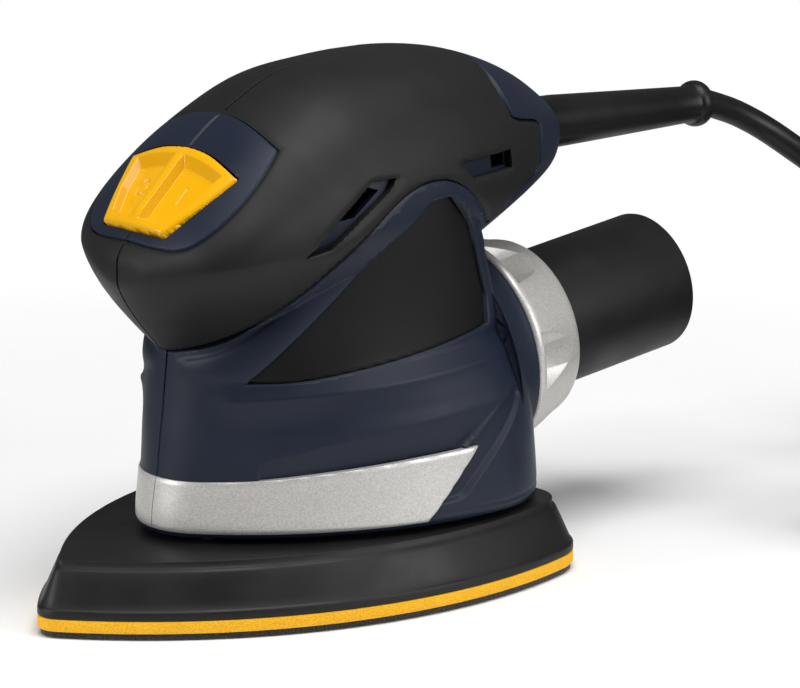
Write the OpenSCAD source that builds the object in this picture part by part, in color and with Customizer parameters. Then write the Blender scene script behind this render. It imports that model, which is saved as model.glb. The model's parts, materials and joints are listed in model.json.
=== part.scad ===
// Palm-grip delta sander with an eccentric-drive pad, a rocker switch and a dust port.
// +X points to the tip of the pad, +Y to the user's left, +Z up.
// The origin is on the motor axis, in the plane of the sanding face.

/* [Sanding pad] */
// Motor axis to the tip of the pad
pad_front = 82.4; // [76:0.2:100]
// Motor axis to the rear edge of the pad
pad_rear = 57.4; // [52:0.2:69]
// Distance of the rear corners' centres from the middle
pad_corner_y = 28.8; // [24:0.2:35]
// Radius of the rear corners
pad_corner_r = 16; // [13:0.5:20]
// Radius of the tip
pad_tip_r = 6; // [4:0.5:10]
// Radius of the long curved sides
pad_side_r = 118; // [110:1:150]
// Thickness of the hook face
hook_t = 1.6; // [1:0.1:2.5]
// Thickness of the foam layer
foam_t = 3.1; // [2.5:0.1:5]
// Height of the platen's upright rim
rim_h = 2.2; // [1.5:0.1:4]
// Height of the platen's shoulder above the foam
shoulder_h = 11.4; // [10.5:0.1:14]
// Rise of the platen's deck above its shoulder
deck_rise = 1.8; // [1:0.1:3]
// Diameter of the dust holes
dust_hole_d = 8; // [6:0.5:10]
// Number of dust holes
dust_holes = 8; // [6:1:10]

/* [Housing] */
// Running gap between the platen's deck and the housing
deck_gap = 1.5; // [1.2:0.1:3]
// Motor axis to the front of the housing
body_front = 48.7; // [47:0.1:58]
// Motor axis to the rear of the housing
body_rear = 55.2; // [54:0.1:66]
// Half width of the housing at its base
body_half_w = 42.1; // [40:0.1:50]
// Wall of the housing
wall = 2.8; // [2.2:0.1:3.4]
// Thickness of the soft grip
grip_t = 2.6; // [2:0.1:3.2]
// Gap at the seam between the two halves
seam = 0.2; // [0.1:0.05:0.4]

/* [Head] */
// Height of the top of the head above the sanding face
head_top = 130; // [128:0.5:156]
// Motor axis to the nose of the head
head_nose = 58.3; // [57:0.1:70]
// Motor axis to the rear end of the head
head_rear = 76.5; // [75:0.1:92]
// Half width of the head
head_half_w = 35; // [34:0.1:42]

/* [Motor and drive] */
// Diameter of the motor shaft
shaft_d = 8; // [6.5:0.1:9.6]
// Offset of the pad's bearing from the motor axis
eccentricity = 1; // [0.8:0.1:1.2]
// Outside diameter of the ball bearings
bearing_d = 22; // [19:0.5:26.4]
// Width of the ball bearings
bearing_w = 7; // [6:0.5:8.4]
// Outside diameter of the stator
stator_d = 50; // [42:0.5:51]
// Height of the stator stack
stator_h = 26; // [22:0.5:27]
// Diameter of the fan
fan_d = 54; // [45:0.5:57]

/* [Dust port] */
// Outside diameter of the dust tube
tube_d = 36.3; // [30.3:0.1:43.6]
// Wall of the dust tube
tube_wall = 1.95; // [1.6:0.05:2.4]
// Length of the dust tube behind the lock ring
tube_len = 45.1; // [38:0.1:54.2]
// Length of the lock ring
ring_len = 19; // [17:0.5:22.8]

/* [Cord] */
// Diameter of the cord
cord_d = 7; // [6:0.1:7.4]
// Length of the cord guard behind the head
guard_len = 55; // [45:0.5:66]

/* [Clearances] */
// Gap between pieces that don't touch
gap = 0.3; // [0.25:0.05:0.5]
// Radial clearance of a running fit
run_fit = 0.06; // [0.03:0.01:0.1]
// Radial clearance of a seated piece
seat_fit = 0.05; // [0.02:0.01:0.1]

/* [Hidden] */
$fn = 48;

navy = [0.13, 0.16, 0.23];
soft_black = [0.13, 0.13, 0.13];
gloss_black = [0.08, 0.08, 0.08];
silver = [0.72, 0.72, 0.7];
yellow = [0.96, 0.7, 0.05];
steel = [0.62, 0.64, 0.66];
copper = [0.72, 0.4, 0.2];
brass = [0.8, 0.66, 0.35];
nylon = [0.85, 0.85, 0.82];
far = 200;

// Heights of the pad and the housing's base
z_foam = hook_t;
z_platen = z_foam + foam_t;
z_shoulder = z_platen + shoulder_h;
z_deck = z_shoulder + deck_rise;
base_z = z_deck + deck_gap;
shoulder_inset = 4.5;
deck_inset = 13;

// Heights along the motor shaft
z_ecc = z_deck + 1.4;
ecc_t = 4.2;
z_fan = z_ecc + ecc_t + 0.5;
dust_blade_h = 5.5;
fan_plate = 1.6;
cool_blade_h = 7;
z_fan_top = z_fan + dust_blade_h + fan_plate + cool_blade_h;
shroud_wall = 2;
shroud_r = fan_d / 2 + 2 + shroud_wall;
z_shroud = base_z + 0.8;
z_shroud_top = z_fan_top + 4.5;
z_low_bearing = z_shroud_top + 0.8;
z_stator = z_shroud_top + 14.4;
coil_over = 6;
z_stator_top = z_stator + stator_h;
z_brush_plate = z_stator_top + coil_over + 1;
z_commutator = z_brush_plate + 1;
commutator_h = 9;
commutator_r = shaft_d / 2 + 5;
z_brush = z_brush_plate + 6;
z_up_bearing = z_commutator + commutator_h + 3.5;
shaft_top = z_up_bearing + bearing_w + 1.5;
armature_r = stator_d / 2 - 10;
air_gap = 0.5;
cup_t = 2;

// The pad's bearing, below the eccentric
z_pad_bearing = z_deck - bearing_w - 1.4;
pin_x = eccentricity;
screw_r = 2.5;

// Legs that keep the pad from turning, and their cups
leg_r = 2.4;
leg_head_r = 2.7;
cup_bore_r = leg_head_r + eccentricity + 0.4;
cup_r = cup_bore_r + 0.8;
leg_front_y = 6.6;
leg_front_x = sqrt(pow(shroud_r + gap + cup_r, 2) - pow(leg_front_y, 2));
leg_spots = [[leg_front_x, leg_front_y], [leg_front_x, -leg_front_y], [-38, 24], [-38, -24]];
floor_t = 2.2;
z_floor = base_z + 1.6;
z_cup = z_floor + floor_t;
cup_h = 11.8;

// Tilted face of the head, with the rocker: x runs down the face, z out of it
face_pos = [head_nose - 13.1, 0, head_top - 26.3];
face_tilt = 43.4;
rocker_swing = 7;
pivot_depth = 6;
rocker_axle_r = 1.8;
crown_r = 48;
rocker_proud = 0.9;

// Dust port: z runs out of the port, and 0 is the lock ring's rear edge
port_pos = [-body_rear - 16.1, 0, base_z + 32.6];
port_tilt = 7.05;
port_face = -ring_len - gap;
tube_r = tube_d / 2;
tube_bore_r = tube_r - tube_wall;
flange_r = tube_r + 2;
neck_step = 0.8;
pocket_depth = 2;
pocket_slope = 11.4;
spigot_r = flange_r + 0.1;
collar_bore_r = spigot_r + gap;
z_spigot_end = -8;
spigot_flange_r = spigot_r + 1.8;
boss_r = spigot_r + 8.3;

// Cord guard: z runs out of the head along the cord
guard_pos = [-head_rear + 0.5, 0, head_top - 25.8];
guard_droop = 1.8;
guard_r0 = cord_d / 2 + 3.3;
guard_r1 = cord_d / 2 + 1.3;
bead_w = 4.4;

// Screws across the two halves, as [x, z]
screw_spots = [[36, base_z + 37.6], [46, head_top - 53], [12, head_top - 13], [-48, head_top - 13.5],
    [-37, base_z + 52], [-50, base_z + 5.6]];
boss_outer_r = 5.2;
screw_head_r = 3.6;

// Cord on its way to the coil, which lies clear of the tool
cord_route = [[-137, 0, 102.2], [-141, 0, 100.9], [-148.5, 0.5, 98], [-156, 3, 93.6], [-162.5, 7.8, 88],
    [-168, 15, 81.5], [-171.5, 22, 73], [-173.5, 26, 63.5], [-174.5, 27.5, 53], [-175, 27, 43],
    [-176.5, 25, 33], [-179, 21.5, 23.5], [-183, 16, 15.2], [-189, 10, 9.3], [-196.5, 5, 6],
    [-206, 1.5, 4.4], [-220, 0, 4.3], [-234, 0, 4.3]];
coil_centre = [-234, 40, 0];
coil_r = 36.5;
coil_turns_wide = 2;
coil_turns_high = 4;
tie_t = 0.8;
tail_route = [[-234, 80, 25.3], [-223, 80, 24.6], [-212, 80, 21], [-202, 80, 16.4], [-192, 80, 13.4],
    [-182.5, 80, 12.5], [-173, 80, 12.5]];
plug_pos = [-148, 80, 0];
plug_t = 25;
plug_cord_z = 12.5;

// ---- Curves and lofts ----

function arc(c, r, a0, a1, n) = [for (i = [0:n]) c + r * [cos(a0 + (a1 - a0) * i / n),
    sin(a0 + (a1 - a0) * i / n)]];

function tail(list) = [for (i = [1:len(list) - 1]) list[i]];

function heading(v) = atan2(v.y, v.x);

// Centre of the long side arc that is tangent to the tip and to the rear corner
function side_centre(front, tip_r, rear, corner_y, corner_r, side_r) =
    let (tip = [front - tip_r, 0], corner = [corner_r - rear, corner_y], v = corner - tip,
         d = norm(v), r1 = side_r - tip_r, r2 = side_r - corner_r,
         a = (r1 * r1 - r2 * r2 + d * d) / (2 * d), h = sqrt(r1 * r1 - a * a))
    tip + a * v / d - h * [v.y, -v.x] / d;

// Half of a delta outline, from the tip to the rear edge
function delta_half(front, tip_r, rear, corner_y, corner_r, side_r, k) =
    let (tip = [front - tip_r, 0], corner = [corner_r - rear, corner_y],
         c = side_centre(front, tip_r, rear, corner_y, corner_r, side_r),
         a1 = heading(tip - c), a2 = heading(corner - c))
    concat(arc(tip, tip_r, 0, a1, round(5 * k)), tail(arc(c, side_r, a1, a2, round(7 * k))),
           tail(arc(corner, corner_r, a2, 180, round(5 * k))));

// Whole delta outline, drawn d inside the given one
function delta(front, tip_r, rear, half_w, corner_r, side_r, d = 0, k = 1) =
    let (h = delta_half(front - d, tip_r - d, rear - d, half_w - corner_r, corner_r - d, side_r - d, k))
    concat(h, [for (i = [len(h) - 1:-1:1]) [h[i].x, -h[i].y]]);

// Smooth curve through the points, k steps to each
function spline_at(a, b, c, d, t) = 0.5 * (2 * b + (c - a) * t + (2 * a - 5 * b + 4 * c - d) * t * t
    + (3 * b - a - 3 * c + d) * t * t * t);

function smooth(rows, k) = concat([for (i = [0:len(rows) - 2]) for (j = [0:k - 1])
    spline_at(rows[max(i - 1, 0)], rows[i], rows[i + 1], rows[min(i + 2, len(rows) - 1)], j / k)],
    [rows[len(rows) - 1]]);

// Solid through closed sections of equal length, which run clockwise seen along the loft
module loft(s) {
    n = len(s[0]);
    m = len(s);
    polyhedron(points = [for (r = s) each r],
        faces = concat([[for (i = [n - 1:-1:0]) i]],
            [for (j = [0:m - 2]) for (i = [0:n - 1]) let (a = j * n, b = a + n, e = (i + 1) % n)
                each [[a + i, a + e, b + e], [a + i, b + e, b + i]]],
            [[for (i = [0:n - 1]) (m - 1) * n + i]]));
}

// Tube of n sides along a route
module sweep(route, r, n) {
    m = len(route);
    loft([for (i = [0:m - 1]) let (d = route[min(i + 1, m - 1)] - route[max(i - 1, 0)], u = d / norm(d),
        side = cross([0, 0, 1], u), v = norm(side) > 0.1 ? side / norm(side) : [0, 1, 0], w = cross(u, v))
        [for (k = [0:n - 1]) route[i] + r * (v * cos(360 * k / n) + w * sin(360 * k / n))]]);
}

// ---- Outer forms ----

// Height, then how far the front, the rear and the sides draw in, then nose, corner and side radius
body_rows = [[base_z, 0.7, 0.8, 0.8, 17.3, 29.2, 87.2], [base_z + 1.8, 0, 0, 0, 18, 30, 88],
    [base_z + 13.6, 1.4, 0.2, 0.7, 19, 30, 88], [base_z + 24.6, 2.7, 1, 1.7, 21, 30, 86],
    [base_z + 30.6, 3.5, 2.2, 3.5, 22, 29, 85], [base_z + 37.6, 4.3, 4.8, 6.9, 23, 27, 84],
    [base_z + 42.6, 4.9, 7.2, 8.3, 23.5, 26, 84], [head_top - 55, 6.3, 11.4, 9, 23.5, 25, 84],
    [head_top - 42, 7.7, 15.2, 8.9, 23, 24, 84], [head_top - 30, 10.7, 18.7, 9.2, 21, 22, 84],
    [head_top - 22, 16.7, 22.2, 15.1, 18, 20, 84]];

function body_section(r, d, k) = [for (p = delta(body_front - r[1], r[4], body_rear - r[2],
    body_half_w - r[3], r[5], r[6], d, k))
    [p.x, p.y, r[0]]];

// Body of the housing, d inside its surface, between two rows
module body_form(d = 0, first = 0, last = 10, step = 1, k = 1) {
    loft([for (i = [last:-step:first]) body_section(body_rows[i], d, k)]);
}

// Room inside the housing, d inside its surface
module body_room(d) body_form(d, 0, 10, 2, 0.8);
module head_room(d) head_form(grip_t + d, 1, 20);

// Place along X, then the depth below the top of the roof, the widest line and the underside,
// then how far the side draws in, and how round the lower half is
head_rows = [[head_nose, 42.5, 45, 47.5, 31, 1.6], [head_nose - 0.7, 40.5, 44.5, 49.5, 26, 1.6],
    [head_nose - 3.3, 36.8, 43, 54, 19, 1.5], [head_nose - 8.3, 31.2, 42, 60.5, 10, 1.4],
    [head_nose - 14.3, 25, 41, 66.5, 5, 1.35], [head_nose - 22.3, 17.6, 40, 70, 2.2, 1.35],
    [head_nose - 32.3, 10.5, 39, 72, 0.7, 1.35], [10, 2.8, 37, 72, 0, 1.4], [-7, 0.5, 35, 68, 0.2, 1.5],
    [-25, 0, 33, 62, 1.8, 1.6], [-40, 1.7, 31, 53, 5.4, 1.7], [24.5 - head_rear, 5.2, 29, 47, 10.5, 1.9],
    [14.5 - head_rear, 9.8, 28, 42.4, 15.7, 2.1], [6.5 - head_rear, 15.2, 27, 38.8, 20.2, 2.2],
    [2 - head_rear, 19, 26.5, 36, 24, 2.2], [-head_rear, 22, 26.5, 33, 27.5, 2.2]];
roof_power = 2.2;

function signed_power(v, p) = sign(v) * pow(abs(v), p);

function head_section(r, d, n) = [for (i = [0:n - 1])
    let (a = 360 * i / n, roof = sin(a) >= 0, p = 2 / (roof ? roof_power : r[5]),
         up = roof ? r[2] - r[1] - d : r[3] - r[2] - d)
    [r[0], (head_half_w - r[4] - d) * signed_power(cos(a), p),
     head_top - r[2] + up * signed_power(sin(a), p)]];

// Head of the tool, d inside its surface
module head_form(d = 0, k = 2, n = 32) {
    rows = smooth(head_rows, k);
    kept = [for (r = rows) if (r[0] <= head_nose - d && r[0] >= d - head_rear) r];
    loft([for (r = kept) head_section(r, d, n)]);
}

// ---- Outlines seen from the side, as [x, z] ----

module from_side() rotate([90, 0, 0]) translate([0, 0, -far / 2]) linear_extrude(far) children();

// Lower edge of the soft grip: up from the front over the arch and down behind it
grip_edge = smooth([[44, head_top - 66.7], [35, head_top - 61], [26.4, head_top - 53.4],
    [14.3, head_top - 41.7],
    [-2.1, head_top - 30.2], [-14, head_top - 27.6], [-22.5, head_top - 30.4], [-30, head_top - 36.8],
    [-37.5, head_top - 43]], 3);
grip_back = [[-44, head_top - 38], [-51.6, head_top - 35.2], [-58.6, head_top - 32.4],
    [-59.8, head_top - 21.4],
    [-45.7, head_top - 16.6], [-48, head_top + 5]];

module grip_zone(d) from_side() offset(delta = -d)
    polygon(concat([[head_nose + 12, head_top - 85]], grip_edge, grip_back,
    [[head_nose + 12, head_top + 5]]));

// Side panel: a five-sided plate below the arch
function panel_edge(d) = concat(smooth([[34.5 - 1.6 * d, base_z + 38 + d], [24, base_z + 37.8 + d],
    [8, base_z + 39.6 + d],
    [-12, base_z + 42.2 + d], [-31 + d, base_z + 45 + d]], 3), [[-32.4 + d, base_z + 52],
    [-27 + d, head_top - 41],
    [-18.8 + 0.6 * d, head_top - 32 - d], [-10.5 - 0.6 * d, head_top - 32.2 - d],
    [2 - 1.2 * d, head_top - 41],
    [12 - 1.3 * d, head_top - 51]]);

// Bright band round the base, with slanted ends
band_top = smooth([[body_front + 9, base_z + 13.4], [34, base_z + 14.2], [18.8, base_z + 15.5],
    [2.3, base_z + 16.7],
    [-8.5, base_z + 17.3], [-19.8, base_z + 17.7]], 2);

function band_edge(d) = concat([for (p = band_top) [p.x + (p.x < -19 ? 1.4 * d : 0), p.y - d]],
    [[-4.2 + 1.4 * d, base_z + 1.2 + d], [body_front + 9, base_z + 1.2 + d]]);

// Shadow wedge above the band, under the swell of the body
wedge_edge = concat(smooth([[33, base_z + 17.5], [18.5, base_z + 22.3], [7, base_z + 24.4],
    [-6, base_z + 25.8],
    [-18, base_z + 27.1], [-36, base_z + 28.8]], 2), [[-28.6, base_z + 26.1], [-17.4, base_z + 18.7],
    [-19.8, base_z + 17.7],
    [2, base_z + 16], [33, base_z + 13.6]]);

// Facet behind the band's end
facet_edge = [[-5.5, base_z + 5.2], [-17, base_z + 16.6], [-20.2, base_z + 18.2], [-35.5, base_z + 28.6],
    [-38.7, base_z + 27], [-27.2, base_z + 16.6], [-15, base_z + 5.5]];

// Long vent under the grip's shoulder and the short one behind the arch
vent_long = [[27, head_top - 40.5], [17, head_top - 32.5], [6.6, head_top - 25.2], [0, head_top - 25.4],
    [1.9, head_top - 27.6], [12, head_top - 33.8], [20.5, head_top - 39.4]];
vent_short = [[-22.6, head_top - 24.5], [-42, head_top - 24.5], [-42, head_top - 28.4],
    [-26.4, head_top - 28.4]];

module rounded_outline(points, r) {
    for (i = [0:len(points) - 1]) hull() {
        for (p = [points[i], points[(i + 1) % len(points)]])
            translate([p.x, 0, p.y]) rotate([90, 0, 0])
                cylinder(r = r, h = far, center = true, $fn = 6);
    }
    from_side() polygon(points);
}

module vents() {
    difference() {
        union() {
            rounded_outline(vent_long, 0.3);
            rounded_outline(vent_short, 0.3);
        }
        cube([far, 2 * (head_half_w - 15), 3 * far], center = true);
    }
}

// ---- Outlines on the tilted face, as [down, across] ----

module at_face() translate(face_pos) rotate([0, face_tilt, 0]) children();

function mirrored(half) = concat(half, [for (i = [len(half) - 1:-1:0]) if (half[i].y > 0.01) [half[i].x,
    -half[i].y]]);

bezel_half = concat(smooth([[-24.7, 0], [-23.6, 9], [-20.2, 21.4]], 3),
    tail(smooth([[-20.2, 21.4], [-12, 23.7],
    [-4, 24.3], [4, 23.3], [10, 20.5], [13.6, 16], [14.9, 9], [15, 0]], 2)));
rocker_half = concat(smooth([[-12.3, 0], [-11.5, 9], [-8.2, 20]], 3),
    tail(smooth([[-8.2, 20], [1.4, 16.5], [11.8, 11.6]], 2)),
    [[12.2, 0]]);
rocker_panel = [[-8.2, 2.6], [-7.4, 9], [-5.4, 15.6], [1.2, 13.2], [9, 9.4], [9.4, 2.6]];

module face_prism(points, d, from, to) {
    at_face() translate([0, 0, from]) linear_extrude(to - from) offset(delta = d) polygon(points);
}

// ---- Housing ----

module at_port() translate(port_pos) rotate([0, port_tilt - 90, 0]) children();

module at_guard() translate(guard_pos) rotate([0, -90 - guard_droop, 0]) children();

module half_space(side) translate([-far, side > 0 ? seam / 2 : -far - seam / 2, -far / 2])
    cube([2 * far, far, 2 * far]);

// Everything outside the housing's skin that the soft grip takes up, drawn d inside its outline
module grip_space(d) {
    difference() {
        grip_zone(d);
        head_form(grip_t, 1, 28);
        face_prism(mirrored(bezel_half), d, -30, 30);
    }
}

// A rib across the housing with a round hole for what it holds
module rib(z, t, r, x0, x1) {
    difference() {
        intersection() {
            translate([x0, -far / 2, z]) cube([x1 - x0, far, t]);
            union() {
                body_room(1);
                head_room(1);
            }
        }
        cylinder(r = r + seat_fit, h = 3 * far, center = true);
    }
}

module housing_ribs() {
    rib(z_stator + 2, 2, stator_d / 2, -far, far);
    rib(z_brush_plate - 2, 2, stator_d / 2, -far, 20);
    rib(z_up_bearing + 1.8, 3, bearing_d / 2 + cup_t, -26, 20);
}

module housing_floor() {
    difference() {
        translate([0, 0, z_floor]) linear_extrude(floor_t)
            polygon(delta(body_front, 18, body_rear, body_half_w, 30, 88, 1));
        cylinder(r = shroud_r + seat_fit, h = far, center = true);
        for (p = leg_spots) translate(p) cylinder(r = cup_bore_r, h = far, center = true, $fn = 24);
    }
}

// One screw boss, from the wall to the seam
module screw_boss(p, side) {
    translate([p.x, 0, p.y]) rotate([side > 0 ? -90 : 90, 0, 0]) hull() {
        cylinder(r = boss_outer_r, h = 1, $fn = 16);
        cylinder(r = boss_outer_r + 0.6, h = 60, $fn = 16);
    }
}

module screw_holes(side) {
    for (p = screw_spots) translate([p.x, 0, p.y]) rotate([side > 0 ? -90 : 90, 0, 0]) {
        cylinder(r = side > 0 ? 1.6 : 2.1, h = 13, $fn = 16);
        if (side < 0) translate([0, 0, 11]) cylinder(r = screw_head_r + 0.2, h = far, $fn = 24);
    }
}

module switch_cheeks() {
    intersection() {
        at_face() for (s = [-1, 1]) translate([-20, s > 0 ? 8.2 : -10.2, -22]) cube([37, 2, 19]);
        head_room(1);
    }
}

module clamp_saddle() {
    intersection() {
        translate([-60, cord_d / 2 + 0.1, guard_pos.z - 12]) cube([8, far, 24]);
        head_room(1);
    }
}

// What the duct fills behind the fan, d larger all round
module duct_block(d) {
    hull() {
        translate([-32, -15 - d, z_cup + 0.2 - d])
            cube([2, 30 + 2 * d, z_shroud_top - z_cup - 1.4 + 2 * d]);
        at_port() translate([0, 0, port_face - 7]) cylinder(r = spigot_r + d, h = 1.2, $fn = 32);
    }
}

module housing_half(side) {
    difference() {
        intersection() {
            half_space(side);
            difference() {
                union() {
                    difference() {
                        union() {
                            body_form();
                            head_form();
                            at_port() translate([0, 0, port_face - 12]) cylinder(r = boss_r, h = 14);
                        }
                        grip_space(0);
                        body_room(wall);
                        head_room(wall);
                    }
                    housing_floor();
                    housing_ribs();
                    switch_cheeks();
                    if (side > 0) clamp_saddle();
                    intersection() {
                        for (p = screw_spots) screw_boss(p, side);
                        union() {
                            body_room(1);
                            head_room(1);
                        }
                    }
                }
                screw_holes(side);
                vents();
                duct_block(gap);
                at_port() translate([0, 0, -60]) cylinder(r = spigot_r + seat_fit, h = 100);
                at_port() translate([0, 0, port_face - 7]) cylinder(r = spigot_flange_r + 0.1, h = 2.2);
                at_port() translate([0, 0, port_face]) cylinder(r = boss_r + 1, h = 40);
                at_guard() translate([0, 0, -14]) cylinder(r = guard_r0 + seat_fit, h = 40, $fn = 32);
                at_guard() translate([0, 0, -13]) cylinder(r = guard_r0 + 2.2, h = 3, $fn = 32);
                face_prism(mirrored(rocker_half), 0.5, -9.5, 30);
                at_face() translate([-8.6, -8.1, -26.2]) cube([17.2, 16.2, 30]);
            }
        }
        intersection() {
            from_side() polygon(band_edge(-0.1));
            band_shell(-2, 1.5);
        }
        panel_recess();
        body_recess(wedge_edge, 1.8);
        body_recess(facet_edge, 0.9);
    }
}

// Ring of the body's lower rows, between two depths
module band_shell(outer, inner) {
    difference() {
        body_form(outer, 0, 4);
        body_form(inner, 0, 4);
    }
}

module body_recess(edge, depth) {
    difference() {
        from_side() polygon(edge);
        body_form(depth);
    }
}

module panel_recess() {
    difference() {
        from_side() polygon(panel_edge(-0.15));
        panel_core(1.9);
    }
}

// The body's upper rows, which carry the side panels
module panel_core(d) body_form(d, 3, 10);

module housing_left() color(navy) housing_half(1);
module housing_right() color(navy) housing_half(-1);

module grip_half(side) {
    difference() {
        intersection() {
            head_form();
            grip_space(gap);
            half_space(side);
        }
        vents();
        if (side < 0) screw_holes(side);
    }
}

module grip_left() color(soft_black) grip_half(1);
module grip_right() color(soft_black) grip_half(-1);

module trim_half(side) {
    intersection() {
        from_side() polygon(band_edge(0));
        band_shell(-0.5, 1.4);
        half_space(side);
    }
}

module trim_left() color(silver) trim_half(1);
module trim_right() color(silver) trim_half(-1);

module side_panel(side) {
    intersection() {
        from_side() polygon(panel_edge(0));
        difference() {
            panel_core(0.7);
            panel_core(1.9);
        }
        half_space(side);
    }
}

module side_panel_left() color(gloss_black) side_panel(1);
module side_panel_right() color(gloss_black) side_panel(-1);

// Pan-head screw along +Z, with its head below z = 0
module screw(r, len, head_r, head_h) {
    cylinder(r = r, h = len);
    difference() {
        translate([0, 0, -head_h]) cylinder(r = head_r, h = head_h);
        for (a = [0, 90]) rotate([0, 0, a]) translate([-head_r * 0.6, -0.4, -head_h - 1])
            cube([head_r * 1.2, 0.8, 2.2]);
    }
}

module housing_screws() color(steel) for (p = screw_spots)
    translate([p.x, -11, p.y]) rotate([-90, 0, 0]) screw(1.5, 23, screw_head_r, 2.6);

// ---- Rocker switch ----

module switch_body() color(gloss_black) at_face() {
    difference() {
        union() {
            translate([-8.4, -8, -24]) cube([16.8, 16, 14]);
            for (x = [-6.5, 4.5]) translate([x, -3.2, -11]) cube([2, 6.4, 11 - pivot_depth + 2.6]);
        }
        translate([-12, 0, -pivot_depth]) rotate([0, 90, 0]) cylinder(r = rocker_axle_r + run_fit,
            h = 24);
    }
    for (y = [-5, 0, 5]) translate([-4, y - 0.4, -28]) cube([3, 0.8, 4]);
}

module rocker_cap() {
    difference() {
        intersection() {
            translate([0, 0, -pivot_depth - 1.4]) linear_extrude(12) polygon(mirrored(rocker_half));
            translate([-40, 0, rocker_proud - crown_r]) rotate([0, 90, 0]) cylinder(r = crown_r, h = 80,
                $fn = 96);
        }
        difference() {
            for (s = [-1, 1]) scale([1, s, 1]) translate([0, 0, -8]) linear_extrude(20)
                polygon(rocker_panel);
            translate([-40, 0, rocker_proud - crown_r]) rotate([0, 90, 0]) cylinder(r = crown_r - 1.3,
                h = 80, $fn = 96);
        }
        difference() {
            translate([-9.6, -14, -10]) cube([19, 28, 20]);
            translate([-40, 0, rocker_proud - crown_r]) rotate([0, 90, 0]) difference() {
                cylinder(r = crown_r + 10, h = 80, $fn = 96);
                translate([0, 0, -1]) cylinder(r = crown_r - 3.2, h = 82, $fn = 96);
            }
        }
    }
}

module switch_rocker() color(yellow) at_face() translate([0, 0, -pivot_depth])
    rotate([rocker_swing / 2, 0, 0]) {
    translate([0, 0, pivot_depth]) rocker_cap();
    translate([-9.4, 0, 0]) rotate([0, 90, 0]) cylinder(r = rocker_axle_r, h = 18.8);
    for (x = [-9.4, 7.4]) translate([x, -3, -rocker_axle_r])
        cube([2, 6, pivot_depth + rocker_axle_r - 1]);
}

// ---- Pad ----

module pad_outline(d = 0) polygon(delta(pad_front, pad_tip_r, pad_rear, pad_corner_y + pad_corner_r,
    pad_corner_r, pad_side_r, d, 2));

function pad_section(z, d) = [for (p = delta(pad_front, pad_tip_r, pad_rear, pad_corner_y + pad_corner_r,
    pad_corner_r,
    pad_side_r, d, 2)) [p.x, p.y, z]];

module dust_hole_pattern() for (i = [0:dust_holes - 1]) translate([pin_x, 0, -1])
    rotate([0, 0, 360 * (i + 0.5) / dust_holes])
    translate([fan_d / 2 - 5, 0, 0]) cylinder(d = dust_hole_d, h = z_deck + 2);

module hook_face() color(gloss_black) difference() {
    linear_extrude(hook_t) pad_outline(0.7);
    dust_hole_pattern();
}

module foam_pad() color(yellow) difference() {
    translate([0, 0, z_foam]) linear_extrude(foam_t) pad_outline();
    dust_hole_pattern();
}

module platen() color(soft_black) difference() {
    loft([pad_section(z_deck, deck_inset < pad_tip_r ? deck_inset : pad_tip_r - 0.6),
        pad_section(z_shoulder, shoulder_inset),
        pad_section(z_platen + rim_h + 0.3, 0.5), pad_section(z_platen + rim_h, 0), pad_section(z_platen,
        0)]);
    dust_hole_pattern();
    translate([pin_x, 0, z_pad_bearing]) cylinder(r = bearing_d / 2 + seat_fit / 2, h = far);
    translate([pin_x, 0, 0]) cylinder(r = bearing_d / 2 - 2.4, h = far);
    for (p = leg_spots) translate([p.x + pin_x, p.y, z_deck - 9]) cylinder(r = leg_r + seat_fit / 2,
        h = far);
}

// ---- Ball bearings: races with shields, from z up ----

race_in = 2.4;
race_out = 2.2;

module race_outer(r_bore, r_out) rotate_extrude()
    polygon([[r_out - race_out, 0.9], [r_bore + race_in + 0.15, 0.9],
    [r_bore + race_in + 0.15, 0.3], [r_out - 0.4, 0], [r_out, 0.4], [r_out, bearing_w - 0.4],
    [r_out - 0.4, bearing_w],
    [r_bore + race_in + 0.15, bearing_w - 0.3], [r_bore + race_in + 0.15, bearing_w - 0.9],
    [r_out - race_out, bearing_w - 0.9]]);

module race_inner(r_bore) rotate_extrude() polygon([[r_bore + 0.02, 0], [r_bore + race_in, 0],
    [r_bore + race_in, bearing_w],
    [r_bore + 0.02, bearing_w]]);

module platen_bearing_outer() color(steel) translate([pin_x, 0, z_pad_bearing]) race_outer(shaft_d / 2,
    bearing_d / 2);
module platen_bearing_inner() color(steel) translate([pin_x, 0, z_pad_bearing]) race_inner(shaft_d / 2);
module lower_bearing_outer() color(steel) translate([0, 0, z_low_bearing]) race_outer(shaft_d / 2,
    bearing_d / 2);
module lower_bearing_inner() color(steel) translate([0, 0, z_low_bearing]) race_inner(shaft_d / 2);
module upper_bearing_outer() color(steel) translate([0, 0, z_up_bearing]) race_outer(shaft_d / 2,
    bearing_d / 2);
module upper_bearing_inner() color(steel) translate([0, 0, z_up_bearing]) race_inner(shaft_d / 2);

module platen_circlip() color(steel) translate([pin_x, 0, z_pad_bearing + bearing_w]) difference() {
    cylinder(r = bearing_d / 2, h = 1);
    translate([0, 0, -1]) cylinder(r = bearing_d / 2 - 1.6, h = 3);
    translate([bearing_d / 2 - 3, -2, -1]) cube([6, 4, 3]);
}

module platen_screw() color(steel) translate([pin_x, 0, 0]) {
    translate([0, 0, z_pad_bearing - 1]) cylinder(r = screw_r - 0.03, h = bearing_w + 1.5);
    translate([0, 0, z_pad_bearing - 1]) cylinder(r = shaft_d / 2 + race_in - 0.2, h = 1);
    difference() {
        translate([0, 0, z_pad_bearing - 3.6]) cylinder(r = 4.2, h = 2.6);
        translate([0, 0, z_pad_bearing - 4.6]) cylinder(r = 2, h = 2.6, $fn = 6);
    }
}

// ---- Legs, cups and seal ----

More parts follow.
